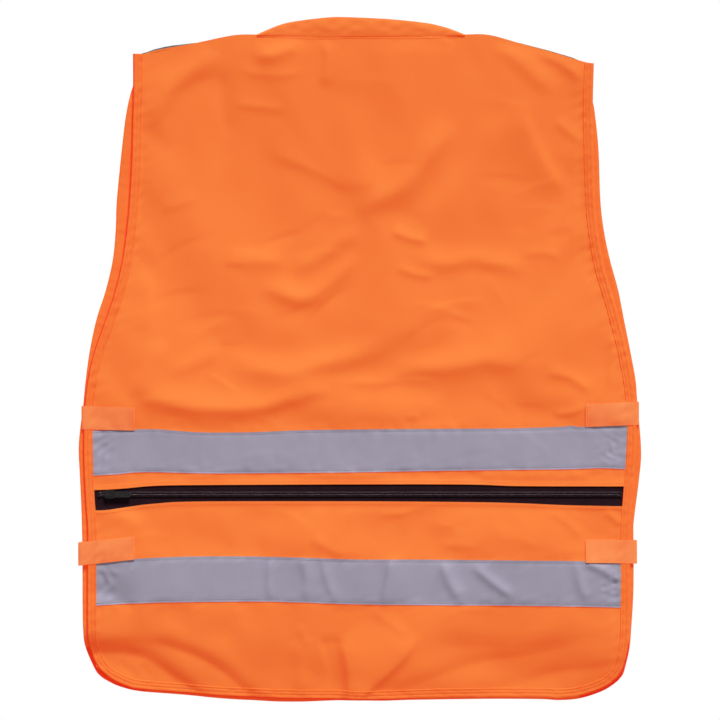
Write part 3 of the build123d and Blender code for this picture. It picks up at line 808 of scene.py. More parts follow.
def fabric(name, colour, dark, weave=(("X", 0.9), ("Z", 0.8)), rough=0.86, bump=0.35, depth_mm=0.22,
           painted_glow=None, sheen=0.06, mottle=45, gloss=0.25, shade=None):
    """Woven or knitted cloth: uneven colour, thread pattern, fine fuzz, and any painted glow and painted
    shade it is given.
    """
    material, tree, shader = new_material(
        name, Sheen_Weight=sheen, Sheen_Roughness=0.5, Specular_IOR_Level=gloss)
    place = object_place(tree)
    broad, fine = noise(tree, place, mottle, 4.0), noise(tree, place, 1600, 2.0)
    pattern, *others = [ribs(tree, place, axis, pitch) for axis, pitch in weave]
    for other in others:
        pattern = maths(tree, "MULTIPLY", pattern, other)
    base = mixed(tree, dark, colour, ranged(tree, broad, 0.1, 1.0, 0.3, 0.65))
    # Painted shade: the colour is darkened where the shade function says.
    if shade:
        base = mixed(tree, base, PAINTED_SHADE_COLOUR, shade(tree, place))
    fill(tree, shader.inputs["Base Color"], mixed(tree, base, dark, ranged(tree, pattern, 0.32, 0.0)))
    fill(tree, shader.inputs["Roughness"], ranged(tree, fine, rough - 0.08, rough + 0.06, 0.3, 0.7))
    bumped(tree, shader, maths(tree, "ADD", pattern, maths(tree, "MULTIPLY", fine, 0.6)), bump, depth_mm)
    # Painted glow: a constant emission that shines the same in any light.
    if painted_glow:
        set_up(shader, {"Emission_Color": (*painted_glow, 1.0), "Emission_Strength": 1.0})
    return material


def reflective():
    """Glass-bead tape: fine grain, faint rubbed patches, a satin surface."""
    material, tree, shader = new_material("reflective_silver", Metallic=0.15, Specular_IOR_Level=0.5)
    place = object_place(tree)
    broad, fine = noise(tree, place, 16, 5.0, 0.6), noise(tree, place, 2600, 1.0)
    rub = noise(tree, place, 60, 6.0, 0.7, (1.0, 1.0, 0.35))
    base = mixed(tree, (0.375, 0.341, 0.440), (0.395, 0.361, 0.460), ranged(tree, broad, 0, 1, 0.35, 0.65))
    grains = mixed(tree, base, (0.30, 0.27, 0.345), ranged(tree, fine, 0.0, 0.4, 0.45, 0.75))
    worn = mixed(tree, grains, (0.43, 0.40, 0.48), ranged(tree, rub, 0.0, 0.2, 0.62, 0.85))
    fill(tree, shader.inputs["Base Color"], worn)
    fill(tree, shader.inputs["Roughness"], ranged(tree, rub, 0.42, 0.62, 0.3, 0.7))
    bumped(tree, shader, maths(tree, "ADD", fine, ribs(tree, place, "DIAGONAL", 0.9)), 0.25, 0.12)
    return material


def hard(name, colour, worn, rough, metallic, coat=0.0):
    """Lacquered metal or plastic: worn high spots, slight orange peel."""
    material, tree, shader = new_material(name, Metallic=metallic, Coat_Weight=coat)
    place = object_place(tree)
    scuffs, peel = noise(tree, place, 420, 5.0, 0.65), noise(tree, place, 1500, 2.0)
    worn_share = ranged(tree, scuffs, 0.0, 0.8, 0.56, 0.72)
    fill(tree, shader.inputs["Base Color"], mixed(tree, colour, worn, worn_share))
    fill(tree, shader.inputs["Roughness"], ranged(tree, scuffs, rough, rough + 0.2, 0.4, 0.75))
    bumped(tree, shader, peel, 0.15, 0.08)
    return material


def clear():
    """Rippled clear vinyl."""
    material, tree, shader = new_material("clear_vinyl", Base_Color=(0.80, 0.84, 0.88, 1), Alpha=0.09)
    place = object_place(tree)
    bumped(tree, shader, noise(tree, place, 40, 3.0), 0.35, 0.8)
    fill(tree, shader.inputs["Roughness"], ranged(tree, noise(tree, place, 300, 4.0), 0.08, 0.2))
    return material


# Red emission painted on the orange cloth, binding, thread, elastic and hook tape as a glow that stands for
# fluorescence.
ORANGE_PAINTED_GLOW = (0.62, 0.012, 0.001)
KNIT = dict(colour=(0.320, 0.200, 0.036), dark=(0.315, 0.188, 0.032), painted_glow=ORANGE_PAINTED_GLOW, mottle=26)
ORANGE = fabric("orange_knit", **KNIT)
# The back's cloth carries painted shade over the neck opening and towards the hem.
ORANGE_BACK = fabric("orange_knit_back", **KNIT, shade=painted_neck_and_hem_shade)
ORANGE_TRIM = fabric("orange_binding", (0.318, 0.184, 0.031), (0.308, 0.158, 0.025), painted_glow=ORANGE_PAINTED_GLOW,
                     weave=(("DIAGONAL", 0.8), ("Z", 1.1)), bump=0.45)
# Painted shade: a darker, redder copy of the binding for its fold where the back's edge overhangs the front.
TRIM_PAINTED_SHADE = fabric("orange_binding_painted_shade", (0.300, 0.050, 0.009), (0.290, 0.035, 0.007), painted_glow=ORANGE_PAINTED_GLOW)
ORANGE_LINING = fabric("orange_lining", (0.320, 0.16, 0.028), (0.300, 0.13, 0.022), painted_glow=ORANGE_PAINTED_GLOW)
THREAD = fabric("orange_thread", (0.315, 0.150, 0.024), (0.290, 0.11, 0.018), painted_glow=(0.56, 0.012, 0.001),
                weave=(("DIAGONAL", 0.5),), bump=0.3)
ELASTIC = fabric("orange_elastic", (0.322, 0.247, 0.074), (0.316, 0.222, 0.064), painted_glow=ORANGE_PAINTED_GLOW,
                 weave=(("X", 1.3),), bump=0.4, depth_mm=0.3)
BLACK = fabric("black_weave", (0.030, 0.028, 0.032), (0.014, 0.012, 0.014), bump=0.5)
ZIP_TAPE = fabric("black_zip_tape", (0.024, 0.009, 0.014), (0.014, 0.005, 0.008),
                  weave=(("X", 0.7), ("Z", 1.5)), bump=0.4, rough=0.85, sheen=0.0, gloss=0.06)
TAPE_THREAD = fabric("grey_thread", (0.26, 0.245, 0.29), (0.18, 0.17, 0.21), weave=(("DIAGONAL", 0.5),))
HOOK = fabric("orange_hook", (0.31, 0.16, 0.03), (0.24, 0.08, 0.012), weave=(("X", 1.1), ("Z", 1.1)),
              bump=1.0, depth_mm=0.6, painted_glow=(0.5, 0.01, 0.001))
REFLECTIVE = reflective()
METAL = hard("black_lacquer", (0.012, 0.008, 0.010), (0.05, 0.045, 0.045), 0.2, 0.2, 1.0)
NYLON = hard("black_nylon", (0.085, 0.078, 0.082), (0.14, 0.135, 0.14), 0.24, 0.0)
CLEAR = clear()

# ---- placing pieces --------------------------------------------------------------------------------


def place_piece(obj, material, slot, *nodes, body=BODY, held=None, rests=(), blend=None):
    """Gives a piece its material, ties it to the body it moves with (or with blend leaves it in place,
    unparented) and hides the CAD nodes it stands for.
    """
    if material:
        obj.data.materials.append(material)
    if blend:
        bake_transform(obj)
    else:
        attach(obj, body)
    if nodes:
        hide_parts(*nodes)


def sew(name, paths, y_of, side, material, slot, body=BODY, **sizes):
    """One piece of all the stitches along some paths."""
    place_piece(bars(name, *stitches(paths, y_of, side, **sizes)), material, slot, body=body)


# ---- the back: two panels, lining, binding, collar, bands --------------------------------------------

def groove(off, at, wide=0.9):
    """1 in the groove that stitching presses into cloth, at a distance from its edge, and 0 beside it."""
    return np.exp(-((off - at) / wide) ** 2)


def turned_edge(off, thick, deep):
    """Relief of cloth turned under along an edge: a rounded double edge with its groove."""
    return thick * (1 - step(off, 3.2, 5.2)) - deep * groove(off, 3.6, 0.8)


def lip(path):
    """The turned edge of cloth along the back zip."""
    line = smooth_path(path, 200)
    return lambda x, z: turned_edge(np.abs(z - np.interp(x, line[:, 0], line[:, 1])), 0.7, 0.25)


def back_sides(left_heights, right_heights):
    """The cut edges of a back panel at its two sides, between these heights."""
    return [[(x - sign * INSET, z) for x, z in between(side, *heights)]
            for side, sign, heights in ((BACK_LEFT, -1, left_heights), (BACK_RIGHT, 1, right_heights))]


def back_panel(name, node_name, low_edge, top_edge, sides, zip_lip, rests):
    """One of the two large cloths of the back, with its edge turned under along the zip."""
    grid = patch_grid([low_edge, top_edge, *sides], SPACING)
    obj = layer(name, grid, BACK, back_field, -1, relief=lip(zip_lip))
    place_piece(obj, ORANGE_BACK, "hi_vis_fabric", node_name, held="hung", rests=[rests])


left, right = back_sides((ZIP_LIP_TOP[0][1], -21), (ZIP_LIP_TOP[-1][1], -32))
upper_lip = [left[0]] + ZIP_LIP_TOP[1:-1] + [right[0]]
back_panel("back_upper_cloth", "back_upper_panel", upper_lip, [left[-1]] + TOP_EDGE[1:-1] + [right[-1]],
           (left, right), ZIP_LIP_TOP, "hanger_loop")
left, right = back_sides((-735, ZIP_LIP_LOW[0][1]), (-739, ZIP_LIP_LOW[-1][1]))
lower_lip = [left[-1]] + ZIP_LIP_LOW[1:-1] + [right[-1]]
hem = [left[0]] + [(x, z + INSET) for x, z in BACK_HEM[1:-1]] + [right[0]]
back_panel("back_lower_cloth", "back_lower_panel", hem, lower_lip, (left, right), ZIP_LIP_LOW,
           "back_zip_lower_tape")


def bag_field(x, z):
    """The lining gives way where the back is pushed in against it."""
    return np.maximum(0.6 * waves(x, z, 120, 50), back_field(x, z) - 1.8)


bag_top = box_mm("back_pocket_bag")[1][2]
bag = layer("back_pocket_lining", patch_grid(rectangle((-266, 0, -724), (266, 0, bag_top)), 6),
            middle("back_pocket_bag"), bag_field, -1)
place_piece(bag, ORANGE_LINING, "lining_fabric", "back_pocket_bag", held="hung",
            rests=["back_zip_upper_tape"])

BINDING = [(11.2, 0.35), (10.9, 1.0), (9.6, 1.05), (9.0, 0.78), (8.2, 1.08), (5.6, 1.1), (5.0, 0.85),
           (4.4, 1.1), (2.4, 1.25), (1.5, 1.1), (0.2, 0.5), (0, 0), (0.25, -0.6), (1.2, -1.0), (3.5, -1.0),
           (10.9, -0.85), (11.2, -0.35)]
PAINTED_SHADE_START, PAINTED_SHADE_END = 9, 13  # the section's points on the fold itself, which are painted darker as shade
SHOULDER_RADIUS = 9


def shoulder_roll(fall):
    """How far the front cloth has gone back towards the seam, that far below the shoulder's crest."""
    angle = np.arccos(1 - np.clip(fall / SHOULDER_RADIUS, 0, 1))
    return (FRONT + 2) * (np.sin(angle) - 1)


def bound_edge(name, node_name, path, centre, field, side, inward, tip=None):
    """Binding folded over an edge, gathered a little between its stitches."""
    def y_of(x, z, height):
        gather = 1 + 0.16 * waves(x, z, 7, 61, 5)
        flat = field(x, z) + (0 if tip is None else shoulder_roll(tip - z))
        return centre + side * height * gather + flat
    obj = sweep(name, path, BINDING, inward, y_of)
    x, z = path[:-1].T
    at_corner = np.hypot(np.abs(x) - 292, z + 745) < 44
    shade_end = PAINTED_SHADE_END if side < 0 else len(BINDING)
    at = np.arange(len(BINDING))
    # Painted shade on the fold: the back binding left of x = 60 mm and both bindings at the hem's corners.
    in_painted_shade = ((side < 0) & (x < 60) | at_corner)[:, None] & (at >= PAINTED_SHADE_START) & (at < shade_end)
    obj.data.materials.append(ORANGE_TRIM)
    obj.data.materials.append(TRIM_PAINTED_SHADE)
    obj.data.polygons.foreach_set("material_index", np.append(in_painted_shade.ravel(), [False, False]).astype(int))
    place_piece(obj, None, "binding_fabric", node_name)


back_edge = smooth_path(BACK_LEFT + BACK_HEM[1:] + BACK_RIGHT[::-1][1:], 860)
bound_edge("back_binding", "back_edge_binding", back_edge, BACK, back_field, -1, 1)


def collar_relief(x, z):
    """The collar is fullest between its seam and its top edge, with small gathers."""
    top_z = np.interp(x, *np.array(COLLAR_TOP).T)
    roll = 0.9 * np.sin(math.pi * np.clip((z + 1) / np.maximum(top_z + 1, 2), 0, 1)) ** 0.6
    return roll + 0.25 * waves(x, z, 16, 70, 6) * step(z, 0, 6)


collar_low = [(x, z - 1) for x, z in COLLAR_SEAM]
collar_grid = coons(smooth_path(collar_low, 130), smooth_path(COLLAR_TOP, 130),
                    *[np.linspace(collar_low[end], COLLAR_TOP[end], 14) for end in (0, -1)])
collar = layer("collar", collar_grid, BACK, lambda x, z: 0.5 * waves(x, z, 60, 71) * step(z, 0, 10), -1,
               thickness=1.2, relief=collar_relief)
place_piece(collar, ORANGE, "hi_vis_fabric", "collar_outer", "collar_inner", held="folded",
            rests=["back_upper_cloth"])

BAND_STITCH = 2.6  # how far a band's stitching lies inside its edge


def band(name, node_name, centre, field, side, top_edge, low_edge):
    """Reflective tape between two edge lines; returns the two lines of stitching near them."""
    def relief(x, z):
        edge = np.minimum(z - np.interp(x, *np.array(low_edge).T), np.interp(x, *np.array(top_edge).T) - z)
        return 0.14 - 0.3 * groove(edge, BAND_STITCH)
    grid = patch_grid(strip_edges(low_edge, top_edge), SPACING)
    obj = layer(name, grid, centre, field, side, thickness=0.4, relief=relief)
    place_piece(obj, REFLECTIVE, "reflective_tape", node_name, held="stretched",
                rests=["back_upper_cloth" if side < 0 else "front_left_cloth"])
    return [[(x, z - BAND_STITCH) for x, z in top_edge], [(x, z + BAND_STITCH) for x, z in low_edge]]


tape_lines = []
for level, edges in BACK_BANDS.items():
    tape_lines += band(f"back_{level}_band", f"back_{level}_reflective_tape", BACK - 0.5, back_field, -1,
                       *edges)

sew("back_binding_stitches", [back_edge + off * left_of(back_edge) for off in (9.0, 5.0)], at_back(-0.72),
    -1, THREAD, "binding_fabric")
sew("back_zip_stitches", [[(x, z + 3.6) for x, z in upper_lip], [(x, z - 3.6) for x, z in lower_lip]],
    at_back(-0.62), -1, THREAD, "hi_vis_fabric")
sew("back_band_stitches", tape_lines, at_back(-0.62), -1, TAPE_THREAD, "reflective_tape")
sew("collar_stitches", [[(x, z - 3.2) for x, z in COLLAR_SEAM]], at_back(-0.4), -1, THREAD, "hi_vis_fabric")

# ---- the front: yokes, panels, bindings, neck bands, reflective bands ----------------------------------

YOKE_DROP = 110  # from the seam over the shoulder to the yoke's lower edge, along the cloth
ROLL_LENGTH = 24  # of it that bends over the shoulder
YOKE_BULGES = {-1: ([0, 0.4, 0.52, 0.72, 0.88, 0.95, 1], [0, 0.8, 4.6, 6.8, 7.0, 5.4, 1.0]),
               1: ([0, 0.35, 0.46, 0.7, 0.88, 0.95, 1], [0, 0.8, 5.4, 6.4, 6.4, 4.6, 1.0])}


def yoke(side, sign, outer):
    """Black cloth that rolls over the shoulder seam from the front down to the back panel."""
    shoulder = np.array(sorted(SHOULDER_LEFT if sign < 0 else SHOULDER_RIGHT))
    neck = smooth_path([(sign * x, z) for x, z in NECKLINE], 200)
    neck = neck[np.argsort(neck[:, 1])]
    arm = between(outer, YOKE_Z, outer[0][1])
    across = np.linspace(0, 1, 64)
    crest = np.interp(sign * 120 + across * (outer[0][0] - sign * 120), *shoulder.T) - 0.8
    down = np.concatenate([np.linspace(0, ROLL_LENGTH, 16), np.linspace(28, YOKE_DROP, 36)])[::-1, None]
    theta = np.minimum(down / ROLL_LENGTH, 1) * math.pi / 2
    fall = SHOULDER_RADIUS * (1 - np.cos(theta)) + np.maximum(0, down - ROLL_LENGTH)
    hang = (fall - SHOULDER_RADIUS) * (crest - SHOULDER_RADIUS - YOKE_Z) / (YOKE_DROP - ROLL_LENGTH)
    z = crest + np.interp(across, *YOKE_BULGES[sign]) * np.sin(2 * theta) - np.where(
        down <= ROLL_LENGTH, fall, SHOULDER_RADIUS + hang)
    x = np.interp(np.minimum(z, 1), neck[:, 1], neck[:, 0]) * (1 - across)
    x += (np.interp(z, arm[:, 1], arm[:, 0]) - sign * 3) * across
    y = -2 + (FRONT + 2) * np.sin(theta) + front_field(x, z) * step(-z, 10, 50)
    grid = np.stack([x, y, z], -1)
    if sign < 0:
        grid = grid[:, ::-1]
    half_sheet = np.zeros_like(grid)
    half_sheet[..., 1] = CLOTH / 2
    half_sheet[..., 2] = 0.4 * (1 - step(grid[..., 1], -3, FRONT))
    obj = shell(f"{side}_yoke_cloth", grid - half_sheet, grid + half_sheet)
    width = abs(outer[0][0] - sign * 95)
    set_flat(obj, width, YOKE_DROP, width * YOKE_DROP * 0.97)
    place_piece(obj, BLACK, "black_fabric", f"{side}_front_yoke", held="hung", rests=["back_upper_cloth"])


ZIP_HALF = 10  # from the middle to the front panels' edges along the zip


def front_half(side, sign, outer):
    """A front panel: hem, zip edge, half of the V, shoulder part under the yoke, armhole."""
    bottom = -773.5
    arm = [(x - sign * INSET, z) for x, z in between(outer, outer[-1][1], YOKE_Z)]
    half_hem = sorted((x, z + INSET) for x, z in FRONT_HEM if sign * x > 20)
    if sign < 0:
        half_hem = [arm[0]] + half_hem[1:] + [(-ZIP_HALF, bottom)]
    else:
        half_hem = [(ZIP_HALF, bottom)] + half_hem[:-1] + [arm[0]]
    neck = smooth_path([(sign * x, z) for x, z in NECKLINE], 120)
    at = np.interp(YOKE_Z, neck[::-1, 1], neck[::-1, 0])
    inner = [(sign * ZIP_HALF, z) for z in (bottom, -600, -400, -210)]
    inner += [tuple(p) for p in neck[neck[:, 1] < YOKE_Z][::-1][::6]] + [(at, YOKE_Z)]
    top_edge = [(arm[-1][0], YOKE_Z), (at, YOKE_Z)]

    def relief(x, z):
        return turned_edge(np.abs(np.abs(x) - ZIP_HALF), 0.6, 0.2) * (z < -190)
    edges = [half_hem, top_edge, arm, inner] if sign < 0 else [half_hem, top_edge[::-1], inner, arm]
    grid = patch_grid(edges, SPACING * 1.2)
    obj = layer(f"front_{side}_cloth", grid, FRONT, front_field, 1, relief=relief)
    place_piece(obj, ORANGE, "hi_vis_fabric", f"{side}_front_panel", held="hung",
                rests=[f"{side}_yoke_cloth"])


def front_binding(side, sign, outer):
    """The binding round a front's armhole and hem; returns its line of stitching."""
    hem_points = FRONT_HEM if sign < 0 else FRONT_HEM[::-1]
    rest = [p for p in hem_points if sign * p[0] > 15][1:] + [(sign * 1.2, -776)]
    tip = outer[0][1]
    start = [(outer[0][0], tip), (outer[0][0], tip - 10)] + [(x, z) for x, z in outer if z < -44]
    path = smooth_path(start + rest, 460)
    bound_edge(f"{side}_front_bound_edge", f"{side}_front_binding", path, FRONT, front_field, 1, -sign, tip)
    line = path - sign * 9.0 * left_of(path)
    return line[line[:, 1] < tip - 10]


def neck_band(side, sign):
    """The black band along the V, which rolls over the shoulder with the yoke."""
    edges = [(118, -2)] + NECKLINE[1:], [(139, -4.5), (123, -70), (79, -142), (10, -215)]
    inner, outer = (smooth_path([(sign * x, z) for x, z in edge], 90) for edge in edges)
    across = np.linspace(0, 1, 9)[:, None]
    grid = (inner * (1 - across[..., None]) + outer * across[..., None])[::-1, ::-1]
    x, z = grid[..., 0], grid[..., 1]
    y = FRONT + 0.5 + front_field(x, z) + shoulder_roll(-1 - z)
    swell = 0.45 * np.sin(math.pi * across) * step(-z, -4, 22)
    obj = shell(f"{side}_neck_cloth", lifted(grid, y - 0.3), lifted(grid, y + 0.3 + swell))
    fix_normals(obj)
    set_flat(obj, 270, 30, 270 * 24)
    place_piece(obj, BLACK, "black_fabric", f"{side}_neck_band", held="hung", rests=[f"front_{side}_cloth"])


front_lines = []
for side, sign, outer, edge in (("left", -1, FRONT_LEFT, 312), ("right", 1, FRONT_RIGHT, 310)):
    yoke(side, sign, outer)
    front_half(side, sign, outer)
    front_lines.append(front_binding(side, sign, outer))
    neck_band(side, sign)
    across = np.sort(sign * np.linspace(11, edge, 9))
    drift = 0.5 * waves(across, across * 0, 260, 84, 4)
    band_lines = []
    for level, (low, high), out in (("upper", BANDS[0], 0.5), ("lower", BANDS[1], 1.1)):
        name = f"{side}_front_{level}"
        top_edge, low_edge = ([*zip(across, height + drift)] for height in (high, low))
        band_lines.append(band(f"{name}_band", f"{name}_reflective_tape", FRONT + out, front_field, 1,
                               top_edge, low_edge))
    for level, lines, out in zip(("upper", "lower"), band_lines, (0.62, 1.22)):
        sew(f"{side}_front_{level}_band_stitches", lines, at_front(out), 1, TAPE_THREAD, "reflective_tape")

sew("front_binding_stitches", front_lines, at_front(0.72), 1, THREAD, "binding_fabric")
sew("front_zip_stitches", [[(s * 13.6, z) for z in (-768, -480, -190)] for s in (-1, 1)], at_front(0.62), 1,
    THREAD, "hi_vis_fabric")

# ---- elastic straps ----------------------------------------------------------------------------------

STRAP_TURN = 4.0  # radius of the strap's two bends round the vest's side


def strap(node_name, sign, out, inner_drop, outer_drop):
    """Elastic from the back round to the front; its ends sit a little off the level of the CAD strap."""
    low, high = box_mm(node_name)
    near, far = low[1] + 0.5, high[1] - 0.5
    height, half = (low[2] + high[2]) / 2 + inner_drop, (high[2] - low[2]) / 2
    inner, r = min(abs(low[0]), abs(high[0])), STRAP_TURN
    turn = out - r
    route = [(inner, near), (turn, near)]
    route += [(turn + r * math.sin(t), near + r - r * math.cos(t)) for t in np.linspace(0.2, math.pi / 2, 6)]
    route += [(turn + r * math.cos(t), far - r + r * math.sin(t)) for t in np.linspace(0.1, math.pi / 2, 6)]
    route = np.array(route + [(inner, far)])
    s = travelled(route)
    at = np.linspace(0, s[-1], 120)
    x, y = np.interp(at, s, route[:, 0]), np.interp(at, s, route[:, 1])
    leftwards = left_of(np.column_stack([x, y]))
    v = np.linspace(-1, 1, 15)[:, None]
    z = height + half * v + (outer_drop - inner_drop) * np.clip((x - inner) / (out - inner), 0, 1)
    side_x = np.tile(x * sign, (15, 1))
    share = np.clip((y - near) / (far - near), 0, 1)
    push = back_field(side_x, z) * (1 - share) + front_field(side_x, z) * share
    squeeze = 0.35 * waves(side_x, z, 17, 90 + int(height) % 7, 5) * np.exp(-((x - inner - 6) / 14) ** 2)
    squeeze += 0.2 * waves(side_x, z, 30, 93, 5)
    grids = []
    for offset in (0.48, -0.48):
        thick = offset * (1 - 0.35 * np.abs(v) ** 6)
        at_y = y - leftwards[:, 1] * thick + push
        at_y += squeeze * np.sign(at_y - FRONT / 2) * 0.5
        grids.append(np.stack([side_x - sign * leftwards[:, 0] * thick, at_y, z], -1))
    obj = shell(f"{node_name}_webbing", *grids)
    fix_normals(obj)
    set_flat(obj, s[-1], 2 * half, s[-1] * 2 * half)
    place_piece(obj, ELASTIC, "elastic", node_name, held="stretched", rests=["back_binding"])
    lines = [[(sign * (inner + off), height + end * (half - 2)) for end in (-1, 1)] for off in (2.2, 5.2)]
    sew(f"{node_name}_stitches", lines, lambda a, b: near - 0.5 + back_field(a, b), -1, THREAD, "elastic",
        pitch=2.6, length=2.0)


strap("left_upper_elastic_strap", -1, 323.5, -3.0, -1.5)
strap("left_lower_elastic_strap", -1, 327, 4.3, -3.0)
strap("right_upper_elastic_strap", 1, 324, 1.1, 3.5)
strap("right_lower_elastic_strap", 1, 321.5, 0.5, -0.5)

# ---- zips: tape, coil teeth, and the CAD sliders and pulls with lacquer on them ------------------------

TOOTH_PITCH = 1.45
BACK_COIL_Y, FRONT_COIL_Y = middle("back_zip_lower_coil"), middle("front_zip_left_coil")


def zip_chain(name, nodes, axis, out, place_at):
    """Interlocked coil loops along a CAD coil; place_at turns (along, across) into points."""
    start, end = (corner[axis] for corner in box_mm(nodes[0]))
    count = int((end - start) / TOOTH_PITCH)
    origin, ahead, beside = place_at(np.array([0.0, 1.0, 0.0]), np.array([0.0, 0.0, 1.0]))
    for side, level, node_name in zip((-1, 1), ("lower", "upper"), nodes):
        t = start + TOOTH_PITCH * (np.arange(count) + (0.25 if side > 0 else 0.75))
        bar = beside - origin + 0.16 * side * (ahead - origin)
        bar /= np.linalg.norm(bar)
        along, outward = (np.tile(v, (count, 1)) for v in (bar, [0.0, float(out), 0.0]))
        obj = bars(f"{name}_{level}_teeth", place_at(t, np.full(count, side * 1.35)), along, outward,
                   3.1, 1.02, 1.7)
        place_piece(obj, NYLON, "zip_coil", node_name)


def over_coil(x, z):
    """The tape's woven edge swells over the coil and dips between its loops."""
    off = np.abs(z - ZIP_Z)
    swell = 1.66 * (1 - step(off, 2.1, 3.1)) * step(off, 0.15, 0.6) * (1 - step(np.abs(x), 301, 303))
    return swell + 0.05 * waves(x, z, 5, 97, 4)


zip_chain("back_zip", ("back_zip_lower_coil", "back_zip_upper_coil"), 0, -1,
          lambda t, s: np.column_stack([t, np.full(len(t), BACK_COIL_Y), ZIP_Z + s]))
for name, sign in (("lower", -1), ("upper", 1)):
    node_name = f"back_zip_{name}_tape"
    rows = np.concatenate([np.linspace(0.0, 3.4, 15), np.linspace(4, 20.5, 9)])
    x, row = np.meshgrid(np.linspace(-311, 311, 240), np.sort(sign * rows))
    obj = layer(f"{node_name}_cloth", np.stack([x, ZIP_Z + row], -1), middle(node_name), back_field, -1,
                relief=over_coil)
    place_piece(obj, ZIP_TAPE, "zip_tape", node_name, held="stretched", rests=["back_upper_cloth"])

zip_chain("front_zip", ("front_zip_left_coil", "front_zip_right_coil"), 2, 1,
          lambda t, s: np.column_stack([s, np.full(len(t), FRONT_COIL_Y), t]))
for name in ("left", "right"):
    node_name = f"front_zip_{name}_tape"
    low, high = box_mm(node_name)
    obj = layer(f"{node_name}_cloth", patch_grid(rectangle(low - [0, 0, 15], high), 3.0), middle(node_name),
                front_field, 1)
    place_piece(obj, ZIP_TAPE, "zip_tape", node_name, held="stretched", rests=[f"front_{name}_cloth"])

for name in ("back_zip_slider", "back_zip_pull", "front_zip_slider", "front_zip_pull",
             "back_zip_closed_end_stops", "back_zip_open_end_stops", "front_zip_top_stops",
             "front_zip_retainer_box", "front_zip_insertion_pin"):
    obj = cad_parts[name]
    obj.data.materials.clear()
    obj.data.materials.append(NYLON if name.endswith(("box", "pin")) else METAL)
    soft = obj.modifiers.new("rounded", "BEVEL")
    soft.width, soft.segments, soft.limit_method, soft.angle_limit = 0.0007, 4, "ANGLE", math.radians(35)

# ---- hanger loop ---------------------------------------------------------------------------------------

low, high = box_mm("hanger_loop")
u = np.linspace(-1, 1, 61)
bow = low[1] + 1.3 + (high[1] - low[1] - 1.7) * (1 - np.clip(np.abs(u) * 1.25, 0, 1) ** 4)
x, z = np.meshgrid(u * high[0], np.linspace(low[2], high[2], 7))
loop_grid = np.stack([x, bow + 0.15 * waves(x, z, 12, 95, 4), z], -1)
loop = shell("hanger_loop_ribbon", loop_grid - [0, 0.35, 0], loop_grid + [0, 0.35, 0])
place_piece(loop, BLACK, "black_fabric", "hanger_loop")

# ---- pockets, flaps and card window on the front -------------------------------------------------------

CORNER = 9.0  # radius of a pocket's lower corners
SEAM = 3.0  # how far a pocket's stitching lies inside its edge


def front_patch(name, node_name, material, slot, spacing=3.0, hemmed=True, field=front_field, **placing):
    """Cloth sewn on the front in the place of a CAD node; returns the lines of its stitching.

    A hemmed patch has rounded lower corners and a thicker edge.
    """
    low, high = box_mm(node_name)
    wide, tall = high[0] - low[0], high[2] - low[2]
    x, z = np.meshgrid(np.linspace(low[0], high[0], int(wide / spacing) + 2),
                       np.linspace(low[2], high[2], int(tall / spacing) + 2))
    if hemmed:
        in_corner = np.clip((low[2] + CORNER - z) / CORNER, 0, 1)
        pull_in = CORNER * (1 - np.sqrt(1 - in_corner**2))
        mid = (low[0] + high[0]) / 2
        x = mid + (x - mid) * (1 - pull_in / (wide / 2))

    def relief(gx, gz):
        edge = np.minimum(np.minimum(gx - low[0], high[0] - gx), gz - low[2])
        return hemmed * 0.4 * (1 - step(edge, 5, 7)) - 0.3 * groove(edge, SEAM)
    obj = layer(name, np.stack([x, z], -1), middle(node_name), field, 1, thickness=CLOTH if hemmed else 0.7,
                relief=relief)
    place_piece(obj, material, slot, node_name, held="hung", rests=["front_left_cloth"], **placing)
    left, right, bottom = low[0] + SEAM, high[0] - SEAM, low[2] + SEAM
    return [[(left, high[2] - 1), (left, bottom + CORNER)],
            [(low[0] + CORNER, bottom), (high[0] - CORNER, bottom)],
            [(right, bottom + CORNER), (right, high[2] - 1)]]


def pocket(prefix):
    """A pocket, its hook and loop tape, and its flap."""
    low, high = box_mm(f"{prefix}_pocket")
    flap_low, flap_high = box_mm(f"{prefix}_flap")

    def bagged(x, z):
        """The pocket's cloth stands off the front below its flap, but not where the tape is sewn over it."""
        inward = np.minimum(np.minimum(x - low[0], high[0] - x), np.minimum(z - low[2], flap_low[2] - z))
        inward = np.minimum(inward, np.maximum(BANDS[1][0] - z, z - BANDS[1][1]))
        return front_field(x, z) + 3.2 * step(inward, 2, 20) * (1 + 0.3 * waves(x, z, 70, 98))
    runs = front_patch(f"{prefix}_pocket_cloth", f"{prefix}_pocket", ORANGE, "hi_vis_fabric", field=bagged)
    sew(f"{prefix}_pocket_stitches", runs, lambda x, z: high[1] - 0.1 + front_field(x, z), 1, THREAD,
        "hi_vis_fabric")
    front_patch(f"{prefix}_loop_patch", f"{prefix}_loop_tape", HOOK, "hook_and_loop", hemmed=False)
    front_patch(f"{prefix}_hook_patch", f"{prefix}_hook_tape", HOOK, "hook_and_loop", hemmed=False,
                body=f"{prefix}_flap")
    mid, y, _ = (flap_low + flap_high) / 2 * MM
    top_z = flap_high[2] * MM
    bend = (BODY, f"{prefix}_flap", (mid, y, top_z - 0.0005), (mid, y, top_z - 0.011))
    runs = front_patch(f"{prefix}_flap_cloth", f"{prefix}_flap", ORANGE, "hi_vis_fabric", spacing=2.2,
                       blend=bend)
    sew(f"{prefix}_flap_stitches", [[(x, min(z, flap_high[2] - 12)) for x, z in run] for run in runs],
        lambda x, z: flap_high[1] - 0.1 + front_field(x, z), 1, THREAD, "hi_vis_fabric",
        body=f"{prefix}_flap")


for prefix in ("left_lower", "right_lower", "chest"):
    pocket(prefix)

